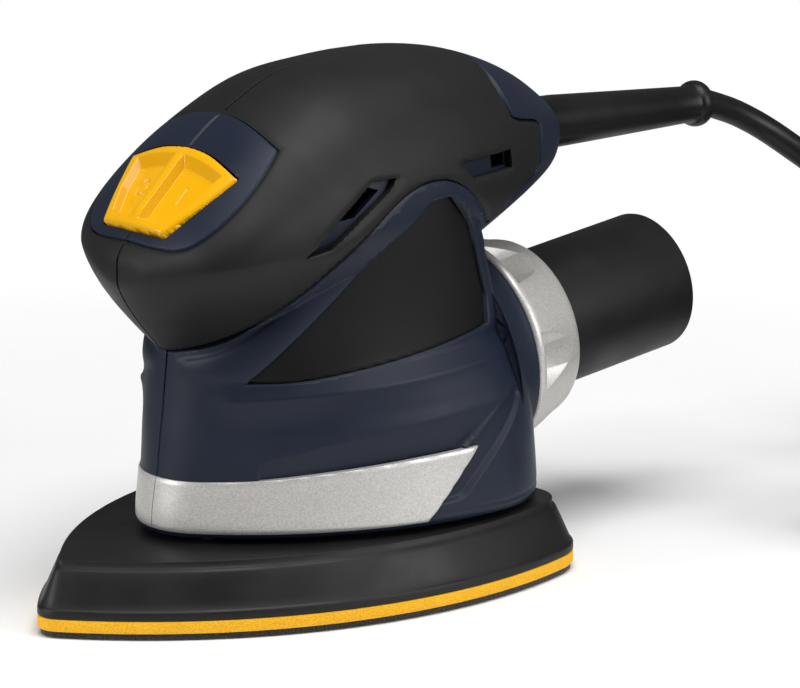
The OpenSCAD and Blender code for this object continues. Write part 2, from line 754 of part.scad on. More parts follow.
module support_legs() color(nylon) for (p = leg_spots) translate([p.x + pin_x, p.y, 0]) {
    translate([0, 0, z_deck - 9]) cylinder(r = leg_r, h = z_cup + 5 - z_deck + 9);
    translate([0, 0, z_cup + 4]) cylinder(r = leg_head_r, h = 5);
    translate([0, 0, z_deck]) cylinder(r = leg_head_r + 0.8, h = 1);
}

module leg_cups() color(soft_black) for (p = leg_spots) translate([p.x, p.y, z_cup]) difference() {
    cylinder(r = cup_r, h = cup_h);
    translate([0, 0, -1]) cylinder(r = cup_bore_r, h = cup_h - 1);
}

module dust_seal() color([0.5, 0.5, 0.48]) translate([0, 0, z_deck + gap]) difference() {
    cylinder(r = shroud_r, h = z_shroud - z_deck - gap);
    translate([0, 0, -1]) cylinder(r = shroud_r - 2.2, h = far);
}

// ---- Drive ----

module eccentric() color(steel) {
    difference() {
        translate([0, 0, z_ecc]) linear_extrude(ecc_t) union() {
            circle(r = shaft_d / 2 + 5);
            intersection() {
                circle(r = fan_d / 2 - 5);
                translate([-far, -far / 2]) square([far - 2, far]);
            }
        }
        translate([0, 0, z_ecc + 1.2]) cylinder(r = shaft_d / 2 + 0.02, h = far);
    }
    difference() {
        translate([pin_x, 0, z_pad_bearing]) cylinder(d = shaft_d, h = z_ecc - z_pad_bearing + 0.5);
        translate([pin_x, 0, z_pad_bearing - 1]) cylinder(r = screw_r, h = bearing_w + 2);
    }
    difference() {
        translate([pin_x, 0, z_pad_bearing + bearing_w]) cylinder(r = shaft_d / 2 + race_in,
            h = z_ecc - z_pad_bearing - bearing_w);
        translate([pin_x, 0, 0]) cylinder(d = shaft_d - 0.5, h = far);
    }
}

module motor_shaft() color(steel) translate([0, 0, z_ecc + 1.2]) {
    cylinder(d = shaft_d, h = shaft_top - z_ecc - 2.2);
    cylinder(r = shaft_d / 2 - 1, h = shaft_top - z_ecc - 1.2);
}

// Ring of curved blades between two radii
module blades(count, r0, r1, h) {
    bend = r1 * 0.8;
    for (i = [0:count - 1]) rotate([0, 0, 360 * i / count]) linear_extrude(h) intersection() {
        difference() {
            translate([r1 * 0.35, -bend * 0.92]) circle(r = bend);
            translate([r1 * 0.35, -bend * 0.92]) circle(r = bend - 1.1);
        }
        difference() {
            circle(r = r1);
            circle(r = r0);
        }
        translate([r1 * 0.12, -r1 * 0.7]) square([r1, r1 * 1.5]);
    }
}

module fan() color([0.2, 0.2, 0.22]) difference() {
    union() {
        translate([0, 0, z_fan]) cylinder(r = shaft_d / 2 + 4, h = z_fan_top - z_fan);
        translate([0, 0, z_fan + dust_blade_h]) cylinder(d = fan_d, h = fan_plate);
        translate([0, 0, z_fan]) blades(8, shaft_d / 2 + 3.5, fan_d / 2 - 0.5, dust_blade_h + 0.2);
        translate([0, 0, z_fan + dust_blade_h + fan_plate - 0.2]) blades(12, shaft_d / 2 + 3.5,
            fan_d / 2 - 0.5, cool_blade_h);
    }
    cylinder(r = shaft_d / 2 + 0.02, h = far);
}

module fan_shroud() color(soft_black) difference() {
    union() {
        rotate_extrude() polygon([[shroud_r - shroud_wall, z_shroud], [shroud_r, z_shroud],
            [shroud_r, z_shroud_top],
            [bearing_d / 2 + 2.4, z_shroud_top], [bearing_d / 2 + 2.4, z_low_bearing + bearing_w],
            [bearing_d / 2 + 0.02, z_low_bearing + bearing_w], [bearing_d / 2 + 0.02, z_low_bearing],
            [shaft_d / 2 + 3.6, z_low_bearing], [shaft_d / 2 + 3.6, z_shroud_top - shroud_wall],
            [shroud_r - shroud_wall, z_shroud_top - shroud_wall]]);
        for (a = [0:60:300]) rotate([0, 0, a + 30])
            translate([bearing_d / 2 + 2, -0.8, z_shroud_top - 0.1])
            cube([shroud_r - bearing_d / 2 - 6, 1.6, 2.6]);
    }
    for (a = [0:60:300]) rotate([0, 0, a]) translate([(bearing_d / 2 + shroud_r) / 2 + 0.4, 0,
        z_shroud_top - 5]) cylinder(r = 4.5, h = 10);
    translate([-shroud_r - 5, -12.5, z_cup + 2.4]) cube([20, 25, z_shroud_top - z_cup - 6]);
}

module dust_duct() color(soft_black) difference() {
    duct_block(0);
    hull() {
        translate([-33, -12.5, z_cup + 2.4]) cube([2, 25, z_shroud_top - z_cup - 6]);
        at_port() translate([0, 0, port_face - 6]) cylinder(r = tube_bore_r - 1, h = 1.2, $fn = 32);
    }
    cylinder(r = shroud_r + 0.1, h = far);
}

// ---- Motor ----

module stator_core() color([0.4, 0.4, 0.42]) translate([0, 0, z_stator]) difference() {
    cylinder(d = stator_d, h = stator_h);
    translate([0, 0, -1]) cylinder(r = armature_r + air_gap, h = stator_h + 2);
    for (a = [0, 90, 180, 270]) rotate([0, 0, a + 45]) translate([armature_r + 4.6, 0, -1])
        cylinder(r = 3.4, h = stator_h + 2);
    for (s = [-1, 1]) translate([s > 0 ? stator_d / 2 - 1.2 : -stator_d / 2 - 1, -5, -1])
        cube([2.2, 10, stator_h + 2]);
}

module field_coils() color(copper) for (end = [-1, 1]) for (a = [0, 180]) rotate([0, 0, a])
    translate([0, 0, end > 0 ? z_stator_top : z_stator - coil_over + 0.6]) rotate([0, 0, -52])
    rotate_extrude(angle = 104)
    polygon([[armature_r + 1.2, 0], [stator_d / 2 - 1.6, 0], [stator_d / 2 - 2.6, coil_over - 0.6],
    [armature_r + 2.2, coil_over - 0.6]]);

module armature_core() color([0.45, 0.45, 0.47]) translate([0, 0, z_stator]) difference() {
    cylinder(r = armature_r, h = stator_h);
    translate([0, 0, -1]) cylinder(r = shaft_d / 2 + 0.02, h = stator_h + 2);
    for (i = [0:11]) rotate([0, 0, 30 * i]) translate([armature_r - 1.6, -0.7, -1])
        cube([4, 1.4, stator_h + 2]);
}

module armature_winding() color(copper) for (z = [z_stator - 4.6, z_stator_top]) translate([0, 0, z])
    rotate_extrude()
    polygon([[shaft_d / 2 + 0.05, 0], [armature_r - 2, 0], [armature_r - 2.6, 4.6], [shaft_d / 2 + 0.05,
    4.6]]);

module commutator() color(copper) translate([0, 0, z_commutator]) difference() {
    cylinder(r = commutator_r, h = commutator_h);
    translate([0, 0, -1]) cylinder(r = shaft_d / 2 + 0.02, h = commutator_h + 2);
    for (i = [0:23]) rotate([0, 0, 15 * i]) translate([commutator_r - 0.5, -0.2, -1])
        cube([2, 0.4, commutator_h + 2]);
}

module brush_plate() color([0.35, 0.2, 0.12]) difference() {
    intersection() {
        translate([0, 0, z_brush_plate]) cylinder(r = stator_d / 2 + 2.6, h = 2);
        translate([-far, -far, 0]) cube([far + 19.6, 2 * far, far]);
    }
    cylinder(r = commutator_r + 2, h = far);
}

module brush_holders() color(brass) for (s = [-1, 1]) scale([1, s, 1]) difference() {
    translate([-5, commutator_r + 2.2, z_brush_plate + 2]) cube([10, 12, 8]);
    translate([-3.1, 0, z_brush - 2.6]) cube([6.2, commutator_r + 13.4, 5.2]);
}

module carbon_brushes() color([0.16, 0.16, 0.17]) for (s = [-1, 1]) scale([1, s, 1]) difference() {
    translate([-3, commutator_r - 1, z_brush - 2.5]) cube([6, 10, 5]);
    cylinder(r = commutator_r + run_fit, h = far);
}

module brush_springs() color(steel) for (s = [-1, 1]) scale([1, s, 1])
    translate([0, commutator_r + 9, z_brush])
    rotate([-90, 0, 0]) for (i = [0:2]) translate([0, 0, 0.1 + 1.45 * i])
    cylinder(r = 2.2, h = i < 2 ? 1.45 : 1.3);

module bearing_cup() color(soft_black) translate([0, 0, z_up_bearing]) difference() {
    translate([0, 0, 0]) cylinder(r = bearing_d / 2 + cup_t, h = bearing_w);
    translate([0, 0, -1]) cylinder(r = bearing_d / 2 + 0.02, h = bearing_w + 2);
}

module suppressor() color(yellow) translate([-38.4, -8, z_stator_top - 3]) cube([10.6, 16, 8]);

// ---- Dust port ----

module dust_spigot() color(navy) at_port() difference() {
    union() {
        translate([0, 0, port_face - 5.8]) cylinder(r = spigot_r, h = z_spigot_end - port_face + 5.8);
        translate([0, 0, port_face - 5.8]) cylinder(r = spigot_flange_r, h = 0.9);
    }
    translate([0, 0, port_face - 10]) cylinder(r = tube_bore_r, h = 60);
}

module tube_seal() color(soft_black) at_port() translate([0, 0, z_spigot_end]) difference() {
    cylinder(r = flange_r - 0.4, h = 1);
    translate([0, 0, -1]) cylinder(r = tube_bore_r + 0.4, h = 3);
}

module lock_ring() color(silver) at_port() difference() {
    rotate_extrude($fn = 96) polygon([[collar_bore_r, -ring_len], [boss_r - 1.6, -ring_len],
        [boss_r - 0.6, -ring_len + 1],
        [boss_r - 0.9, -ring_len + 3], [tube_r + 5.6, -3.4], [tube_r + 5, -1], [tube_r + 4, 0],
        [tube_r + gap, 0], [tube_r + gap, -4.4], [collar_bore_r, -4.4]]);
    for (i = [0:5]) rotate([0, 0, 60 * i + 30]) translate([boss_r - pocket_depth, -10, 2 - ring_len])
        rotate([0, -pocket_slope, 0]) cube([10, 20, 30]);
}

module dust_tube() color(soft_black) at_port() rotate_extrude($fn = 96)
    polygon([[tube_bore_r, z_spigot_end + 1.3],
    [flange_r, z_spigot_end + 1.3], [flange_r, -4.7], [tube_r - neck_step, -4.7], [tube_r - neck_step,
    0.5], [tube_r, 0.5],
    [tube_r, tube_len], [tube_bore_r, tube_len]]);

// ---- Cord entry ----

module cord_guard() color(soft_black) at_guard() rotate_extrude() polygon([[cord_d / 2 + 0.05, -12.6],
    [guard_r0 + 2, -12.6], [guard_r0 + 2, -10.4], [guard_r0, -10.4], [guard_r0, 6], [guard_r1, guard_len],
    [guard_r1 + 0.9, guard_len + 0.3], [guard_r1 + 1.3, guard_len + bead_w / 2],
    [guard_r1 + 0.9, guard_len + bead_w - 0.3],
    [guard_r1, guard_len + bead_w], [cord_d / 2 + 0.05, guard_len + bead_w]]);

module cord_inner() color(soft_black) at_guard() translate([0, 0, -30]) cylinder(d = cord_d,
    h = guard_len + bead_w + 30);

module cord_clamp() color(gloss_black) translate([-59, -cord_d / 2 - 3.2, guard_pos.z - 11])
    difference() {
    cube([5.2, 3, 22]);
    for (z = [2.8, 19.2]) translate([3, -1, z]) rotate([-90, 0, 0]) cylinder(r = 1.6, h = 5);
}

module clamp_screws() color(steel) for (z = [2.8, 19.2])
    translate([-56, -cord_d / 2 - 3.3, guard_pos.z - 11 + z])
    rotate([-90, 0, 0]) screw(1.5, cord_d + 2.8, 2.6, 1.8);

// Leads from the cord to the switch and to the brushes
module lead_wires() {
    start = guard_pos + [30, 0, 0];
    for (s = [-1, 1]) color(s > 0 ? [0.45, 0.25, 0.12] : [0.15, 0.3, 0.65]) sweep(smooth([
        [start.x + 1, s * 1.7, start.z + 0.9], [start.x + 8, s * 6, start.z + 1],
        [-28, s * 16, z_brush + 5],
        [-10, s * (commutator_r + 16), z_brush + 3], [0, s * (commutator_r + 16), z_brush]], 3), 1.1, 6);
    color([0.45, 0.25, 0.12]) sweep(smooth([[-44.8, 0, start.z + 1.4], [-34, 4, start.z + 9],
        [-10, 8, shaft_top + 3],
        [4, 13, shaft_top - 0.5], [12, 13, shaft_top - 2.1], [20, 8.5, shaft_top - 2],
        [22.6, 6, shaft_top - 8],
        [21.4, 5, z_brush], [20.95, 5, z_brush - 4], [22.6, 5, z_brush - 6.4]], 3), 1.1, 6);
}

// ---- Free cord, its coil and its plug ----

module cord() color(soft_black) sweep(cord_route, cord_d / 2, 8);

module cord_coil() color(soft_black) translate(coil_centre + [0, 0, tie_t]) rotate_extrude()
    translate([coil_r - coil_turns_wide * cord_d / 2, 0])
    square([coil_turns_wide * cord_d, coil_turns_high * cord_d]);

module cord_tail() color(soft_black) sweep(tail_route, cord_d / 2, 8);

module coil_tie() color(gloss_black) translate(coil_centre) rotate([0, 0, 196]) translate([coil_r, 0, 0])
    difference() {
    translate([-coil_turns_wide * cord_d / 2 - 1.6, -5, 0]) cube([coil_turns_wide * cord_d + 3.2, 10,
        coil_turns_high * cord_d + 1.8]);
    translate([-coil_turns_wide * cord_d / 2 - 0.6, -6, tie_t]) cube([coil_turns_wide * cord_d + 1.2, 12,
        coil_turns_high * cord_d + 0.1]);
}

module plug_body() color(soft_black) translate(plug_pos) {
    difference() {
        hull() {
            for (y = [-18, 18]) translate([-18, y, 3]) cylinder(r = 5, h = plug_t - 3, $fn = 24);
            for (y = [-15, 15]) translate([20, y, 3]) cylinder(r = 7, h = plug_t - 3, $fn = 24);
            for (y = [-17, 17]) translate([-17, y, 0]) cylinder(r = 4, h = 3, $fn = 24);
            for (y = [-14, 14]) translate([19, y, 0]) cylinder(r = 6, h = 3, $fn = 24);
        }
        translate([-2, -4, plug_t - 1.4]) cube([22, 8, 3]);
    }
    translate([-25, 0, plug_cord_z]) rotate([0, 90, 0]) cylinder(r = 6, h = 8);
}

module plug_pins() color(brass) translate(plug_pos + [0, 0, plug_t]) {
    for (y = [-11.1, 11.1]) translate([-7.5, y - 3.2, 0]) cube([4, 6.4, 17.7]);
    translate([11, -2, 0]) cube([8, 4, 22.7]);
}

module fuse_carrier() color([0.5, 0.1, 0.08]) translate(plug_pos + [-1.8, -3.8, plug_t - 1.3])
    cube([12, 7.6, 1.6]);

hook_face();
foam_pad();
platen();
platen_bearing_outer();
platen_bearing_inner();
platen_circlip();
platen_screw();
support_legs();
leg_cups();
dust_seal();
eccentric();
motor_shaft();
fan();
fan_shroud();
dust_duct();
lower_bearing_outer();
lower_bearing_inner();
upper_bearing_outer();
upper_bearing_inner();
bearing_cup();
stator_core();
field_coils();
armature_core();
armature_winding();
commutator();
brush_plate();
brush_holders();
carbon_brushes();
brush_springs();
suppressor();
housing_left();
housing_right();
grip_left();
grip_right();
trim_left();
trim_right();
side_panel_left();
side_panel_right();
housing_screws();
switch_body();
switch_rocker();
dust_spigot();
tube_seal();
lock_ring();
dust_tube();
cord_guard();
cord_inner();
cord_clamp();
clamp_screws();
lead_wires();
cord();
cord_coil();
coil_tie();
cord_tail();
plug_body();
plug_pins();
fuse_carrier();
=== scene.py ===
"""Palm-grip delta sander: fine shells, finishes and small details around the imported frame."""
import json
from math import atan2, cos, hypot, pi, radians, sin, sqrt

import bmesh
import bpy
import numpy as np
from mathutils import Matrix, Vector


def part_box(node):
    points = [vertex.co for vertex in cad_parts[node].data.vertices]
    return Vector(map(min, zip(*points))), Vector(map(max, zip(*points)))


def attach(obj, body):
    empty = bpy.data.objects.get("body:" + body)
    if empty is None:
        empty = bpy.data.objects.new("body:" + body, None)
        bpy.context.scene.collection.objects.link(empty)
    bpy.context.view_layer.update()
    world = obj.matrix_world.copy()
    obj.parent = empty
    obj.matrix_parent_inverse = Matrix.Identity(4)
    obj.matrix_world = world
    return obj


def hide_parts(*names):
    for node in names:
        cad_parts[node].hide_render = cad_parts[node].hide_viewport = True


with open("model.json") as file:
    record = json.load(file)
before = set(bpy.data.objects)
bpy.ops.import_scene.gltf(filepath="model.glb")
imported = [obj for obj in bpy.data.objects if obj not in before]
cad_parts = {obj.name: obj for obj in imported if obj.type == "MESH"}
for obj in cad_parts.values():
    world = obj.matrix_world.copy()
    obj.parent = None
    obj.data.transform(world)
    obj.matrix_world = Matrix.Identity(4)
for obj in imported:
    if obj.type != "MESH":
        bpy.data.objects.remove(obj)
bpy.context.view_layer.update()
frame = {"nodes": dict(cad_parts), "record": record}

MM = 0.001
NODES = frame["nodes"]


# ---------------------------------------------------------------- small tools

def link(name, data):
    """A new object in the scene that holds the mesh, curve, lamp or camera."""
    piece = bpy.data.objects.new(name, data)
    bpy.context.scene.collection.objects.link(piece)
    return piece


def mesh_from(name, points, faces, smooth=True):
    mesh = bpy.data.meshes.new(name)
    mesh.from_pydata([tuple(p) for p in points], [], faces)
    mesh.update()
    mesh.polygons.foreach_set("use_smooth", [smooth] * len(mesh.polygons))
    return mesh


def catmull(points, steps, closed=False):
    """A smooth curve through points, with that many steps to each stretch."""
    pts = [np.array(p, float) for p in points]
    n = len(pts)
    out = []
    for i in range(n if closed else n - 1):
        if closed:
            a, b, c, d = (pts[(i + k) % n] for k in (-1, 0, 1, 2))
        else:
            a, b, c, d = pts[max(i - 1, 0)], pts[i], pts[i + 1], pts[min(i + 2, n - 1)]
        for j in range(steps):
            t = j / steps
            out.append(0.5 * (2 * b + (c - a) * t + (2 * a - 5 * b + 4 * c - d) * t * t
                              + (3 * b - a - 3 * c + d) * t ** 3))
    if not closed:
        out.append(pts[-1])
    return out


def smoothed(points, steps):
    return [tuple(p) for p in catmull(points, steps)]


def round_line(name, points, radius):
    """A round cord along the points, in metres."""
    curve = bpy.data.curves.new(name, "CURVE")
    curve.dimensions = "3D"
    curve.bevel_depth = 1.0  # scaled by each point's radius, which keeps the curve's box close round it
    curve.bevel_resolution = 6
    curve.use_fill_caps = True
    spline = curve.splines.new("POLY")
    spline.points.add(len(points) - 1)
    for point, p in zip(spline.points, points):
        point.co = (*p, 1.0)
        point.radius = radius
    spline.use_smooth = True
    return link(name, curve)


# ---------------------------------------------------------------- camera

CAMERA_TARGET = Vector((-0.03038, 0.0, 0.053606))
CAMERA_BEARING, CAMERA_HEIGHT, CAMERA_ROLL = 40.973, 13.367, -0.168
CAMERA_DISTANCE, CAMERA_LENS = 1.128, 202.29


def set_camera():
    """A long lens in front of the nose, a little above the tool, on its left."""
    bearing, height = radians(CAMERA_BEARING), radians(CAMERA_HEIGHT)
    back = Vector((sin(bearing) * cos(height), cos(bearing) * cos(height), sin(height)))
    camera = link("camera", bpy.data.cameras.new("camera"))
    camera.data.lens = CAMERA_LENS
    camera.data.sensor_width = 36.0
    camera.data.clip_end = 20.0
    turn = back.to_track_quat("Z", "Y").to_matrix().to_4x4()
    camera.matrix_world = (Matrix.Translation(CAMERA_TARGET + CAMERA_DISTANCE * back) @ turn
                           @ Matrix.Rotation(radians(CAMERA_ROLL), 4, "Z"))
    bpy.context.scene.camera = camera


set_camera()


# ---------------------------------------------------------------- cord, coil and plug

CORD_D = 0.007
CORD_ROUTE = [(-0.137, 0, 0.1022), (-0.141, 0, 0.1009), (-0.1485, 0.0005, 0.098),
              (-0.156, 0.003, 0.0936), (-0.1625, 0.0078, 0.088), (-0.168, 0.015, 0.0815),
              (-0.1715, 0.022, 0.073), (-0.1735, 0.026, 0.0635), (-0.1745, 0.0275, 0.053),
              (-0.175, 0.027, 0.043), (-0.1765, 0.025, 0.033), (-0.179, 0.0215, 0.0235),
              (-0.183, 0.016, 0.0152), (-0.189, 0.01, 0.0093), (-0.1965, 0.005, 0.006),
              (-0.206, 0.0015, 0.0044), (-0.22, 0, 0.0043), (-0.234, 0, 0.0043)]
TAIL_ROUTE = [(-0.234, 0.080, 0.0253), (-0.223, 0.080, 0.0246), (-0.212, 0.080, 0.021),
              (-0.202, 0.080, 0.0164), (-0.192, 0.080, 0.0134), (-0.1825, 0.080, 0.0125),
              (-0.173, 0.080, 0.0125)]
COIL_CENTRE = (-0.234, 0.040)
COIL_FLOOR = 0.0008
COIL_R = 0.0365
COIL_LAYERS = 4
TURN_STEPS = 40
STRAIGHT_PART = 0.8  # of each turn; in the rest of it the cord moves over to the next ring


def coil_points():
    """The cord's turns: clockwise from above, out and in a diameter to each layer, then up one."""
    points = []
    inner, outer = COIL_R - CORD_D / 2, COIL_R + CORD_D / 2
    rows = []
    for layer in range(COIL_LAYERS):
        rows += [(outer, layer), (inner, layer)] if layer % 2 == 0 else [(inner, layer), (outer, layer)]
    for i in range(1, int((len(rows) - 0.5) * TURN_STEPS)):
        turn = i / TURN_STEPS
        row = int(turn)
        after = min(row + 1, len(rows) - 1)
        blend = max(0.0, (turn - row - STRAIGHT_PART) / (1 - STRAIGHT_PART))
        blend = blend * blend * (3 - 2 * blend)
        r = rows[row][0] * (1 - blend) + rows[after][0] * blend
        layer = rows[row][1] * (1 - blend) + rows[after][1] * blend
        angle = -pi / 2 - 2 * pi * turn
        points.append((COIL_CENTRE[0] + r * cos(angle), COIL_CENTRE[1] + r * sin(angle),
                       COIL_FLOOR + CORD_D / 2 + layer * CORD_D))
    return points


def make_cord():
    route = smoothed(CORD_ROUTE, 3) + coil_points() + smoothed(TAIL_ROUTE, 3)
    cord = round_line("supply_cord", route, CORD_D / 2)
    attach(cord, "housing")
    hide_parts("cord", "cord_coil", "cord_tail")
    return cord


cord = make_cord()


# ---------------------------------------------------------------- shader groups

def new_group(name, inputs, outputs):
    group = bpy.data.node_groups.new(name, "ShaderNodeTree")
    for label, kind, value in inputs:
        socket = group.interface.new_socket(label, in_out="INPUT", socket_type=kind)
        socket.default_value = value
    for label, kind in outputs:
        group.interface.new_socket(label, in_out="OUTPUT", socket_type=kind)
    return group, group.nodes.new("NodeGroupInput"), group.nodes.new("NodeGroupOutput")


def wire(tree, pairs):
    for a, b in pairs:
        tree.links.new(a, b)


def sized_noise(group, size, detail):
    """Noise on the object's own place, whose grains have the size of that socket, in millimetres."""
    place = group.nodes.new("ShaderNodeTexCoord")
    scale = group.nodes.new("ShaderNodeMath")
    scale.operation = "DIVIDE"
    scale.inputs[0].default_value = 1 / MM
    noise = group.nodes.new("ShaderNodeTexNoise")
    noise.inputs["Detail"].default_value = detail
    wire(group, [(size, scale.inputs[1]), (scale.outputs[0], noise.inputs["Scale"]),
                 (place.outputs["Object"], noise.inputs["Vector"])])
    return place, noise


def moulded_grain():
    """Fine spark-eroded texture of a moulded part, as a height."""
    group, given, out = new_group(
        "moulded_grain", [("Size mm", "NodeSocketFloat", 0.4), ("Roughen", "NodeSocketFloat", 0.5)],
        [("Height", "NodeSocketFloat")])
    noise = sized_noise(group, given.outputs["Size mm"], 3.0)[1]
    wire(group, [(given.outputs["Roughen"], noise.inputs["Roughness"]),
                 (noise.outputs["Fac"], out.inputs["Height"])])
    return group


def handling_marks():
    """Slow unevenness of a handled surface: roughness and tone drift, as a factor from 0 to 1."""
    group, given, out = new_group(
        "handling_marks", [("Size mm", "NodeSocketFloat", 18.0)],
        [("Patches", "NodeSocketFloat"), ("Fine streaks", "NodeSocketFloat")])
    place, patches = sized_noise(group, given.outputs["Size mm"], 4.0)
    stretch = group.nodes.new("ShaderNodeMapping")
    stretch.inputs["Scale"].default_value = (1.0, 1.0, 0.12)
    streaks = group.nodes.new("ShaderNodeTexNoise")
    streaks.inputs["Scale"].default_value = 900.0
    wire(group, [(patches.outputs["Fac"], out.inputs["Patches"]),
                 (place.outputs["Object"], stretch.inputs["Vector"]),
                 (stretch.outputs[0], streaks.inputs["Vector"]),
                 (streaks.outputs["Fac"], out.inputs["Fine streaks"])])
    return group


GRAIN = moulded_grain()
MARKS = handling_marks()


# ---------------------------------------------------------------- finishes

def new_material(name, **constants):
    """A material with one Principled shader, whose constants are set on its own sockets."""
    material = bpy.data.materials.new(name)
    material.use_nodes = True
    shader = material.node_tree.nodes["Principled BSDF"]
    for label, value in constants.items():
        shader.inputs[label.replace("_", " ")].default_value = value
    return material, material.node_tree, shader


def mixed(tree, factor, a, b):
    """A colour between a and b by a factor socket."""
    mix = tree.nodes.new("ShaderNodeMix")
    mix.data_type = "RGBA"
    mix.inputs["A"].default_value = (*a, 1.0)
    mix.inputs["B"].default_value = (*b, 1.0)
    tree.links.new(factor, mix.inputs["Factor"])
    return mix.outputs["Result"]


def ranged(tree, value, low, high, start=0.0, stop=1.0):
    """The value carried from start..stop to low..high."""
    node = tree.nodes.new("ShaderNodeMapRange")
    node.inputs["From Min"].default_value = start
    node.inputs["From Max"].default_value = stop
    node.inputs["To Min"].default_value = low
    node.inputs["To Max"].default_value = high
    tree.links.new(value, node.inputs["Value"])
    return node.outputs[0]


def tinted(tree, shader, factor, dark, light):
    tree.links.new(mixed(tree, factor, dark, light), shader.inputs["Base Color"])


def glossed(tree, shader, factor, *spread):
    tree.links.new(ranged(tree, factor, *spread), shader.inputs["Roughness"])


def surface_texture(tree, kind, scale):
    """A texture of that kind on the object's own place."""
    place = tree.nodes.new("ShaderNodeTexCoord")
    texture = tree.nodes.new("ShaderNodeTex" + kind)
    texture.inputs["Scale"].default_value = scale
    tree.links.new(place.outputs["Object"], texture.inputs["Vector"])
    return texture


def placed(tree, group, **values):
    """A shared effect, with its own values in this material."""
    node = tree.nodes.new("ShaderNodeGroup")
    node.node_tree = group
    for label, value in values.items():
        node.inputs[label.replace("_", " ")].default_value = value
    return node


def bumped(tree, shader, height, depth_mm, soften_mm=0.0):
    """Height as a bump of that depth, over corners softened by a small radius."""
    bump = tree.nodes.new("ShaderNodeBump")
    bump.inputs["Distance"].default_value = depth_mm * MM
    bump.inputs["Strength"].default_value = 1.0
    tree.links.new(height, bump.inputs["Height"])
    if soften_mm:
        corner = tree.nodes.new("ShaderNodeBevel")
        corner.samples = 6
        corner.inputs["Radius"].default_value = soften_mm * MM
        tree.links.new(corner.outputs[0], bump.inputs["Normal"])
    tree.links.new(bump.outputs[0], shader.inputs["Normal"])


def moulded(name, dark, light, roughness, grain=0.45, depth=0.02, soften=0.25, **constants):
    """A moulded plastic or rubber: two close tones, a grain, uneven gloss and softened corners."""
    material, tree, shader = new_material(name, **constants)
    texture = placed(tree, GRAIN, Size_mm=grain)
    drift = placed(tree, MARKS)
    tinted(tree, shader, drift.outputs["Patches"], dark, light)
    glossed(tree, shader, drift.outputs["Patches"], *roughness, 0.35, 0.65)
    bumped(tree, shader, texture.outputs["Height"], depth, soften)
    return material


def flake_paint(name, dark, light, flake):
    """Silver paint with metal flakes, each with its own brightness and gloss, on a moulded part."""
    material, tree, shader = new_material(name, Metallic=0.5)
    flakes = surface_texture(tree, "Voronoi", 1 / (flake * MM))
    tone = tree.nodes.new("ShaderNodeSeparateColor")
    tree.links.new(flakes.outputs["Color"], tone.inputs[0])
    tinted(tree, shader, tone.outputs["Red"], dark, light)
    glossed(tree, shader, tone.outputs["Green"], 0.32, 0.5)
    bumped(tree, shader, placed(tree, GRAIN, Size_mm=0.5).outputs["Height"], 0.012, 0.3)
    return material


def turned_metal(name, dark, light, roughness=(0.22, 0.4)):
    """Machined or drawn metal with fine lines."""
    material, tree, shader = new_material(name, Metallic=1.0)
    streaks = placed(tree, MARKS).outputs["Fine streaks"]
    tinted(tree, shader, streaks, dark, light)
    glossed(tree, shader, streaks, *roughness, 0.3, 0.7)
    bumped(tree, shader, streaks, 0.01)
    return material


def foam_material():
    """Fine-celled yellow foam, with painted shade that darkens the low middle of each cell."""
    material, tree, shader = new_material("foam_yellow", Roughness=0.85)
    cells = surface_texture(tree, "Voronoi", 2200.0)
    drift = placed(tree, MARKS, Size_mm=5.0)
    # painted shade: the foam's colour turns darker where the cells' bump height is low, as if shade fell in
    # the pits
    pore_shade = ranged(tree, cells.outputs["Distance"], 0.0, 1.0, 0.05, 0.5)
    foam_tone = mixed(tree, drift.outputs["Patches"], (0.78, 0.39, 0.004), (0.86, 0.46, 0.008))
    both = tree.nodes.new("ShaderNodeMix")
    both.data_type = "RGBA"
    both.inputs["A"].default_value = (0.62, 0.28, 0.003, 1.0)
    wire(tree, [(pore_shade, both.inputs["Factor"]), (foam_tone, both.inputs["B"]),
                (both.outputs["Result"], shader.inputs["Base Color"])])
    bumped(tree, shader, cells.outputs["Distance"], 0.12, 0.25)
    return material


def fabric_material(name, dark, light, tuft=0.5):
    """Short pile: a fine cellular height and two tones."""
    material, tree, shader = new_material(name, Roughness=0.95, Sheen_Weight=0.25)
    cells = surface_texture(tree, "Voronoi", 1 / (tuft * MM))
    tinted(tree, shader, cells.outputs["Distance"], dark, light)
    bumped(tree, shader, cells.outputs["Distance"], 0.3)
    return material


def winding_material():
    """Enamelled wire laid side by side."""
    material, tree, shader = new_material("copper_wire", Metallic=0.85, Roughness=0.35, Coat_Weight=0.5)
    turns = surface_texture(tree, "Wave", 320.0)
    turns.bands_direction = "DIAGONAL"
    turns.inputs["Distortion"].default_value = 1.5
    tinted(tree, shader, turns.outputs["Fac"], (0.25, 0.07, 0.02), (0.62, 0.24, 0.09))
    bumped(tree, shader, turns.outputs["Fac"], 0.15)
    return material


def laminated_material():
    """Stacked steel sheets, seen edge on."""
    material, tree, shader = new_material("laminated_steel", Metallic=0.9)
    sheets = surface_texture(tree, "Wave", 320.0)
    sheets.bands_direction = "Z"
    tinted(tree, shader, sheets.outputs["Fac"], (0.12, 0.12, 0.125), (0.3, 0.3, 0.31))
    glossed(tree, shader, sheets.outputs["Fac"], 0.6, 0.35)
    bumped(tree, shader, sheets.outputs["Fac"], 0.05)
    return material


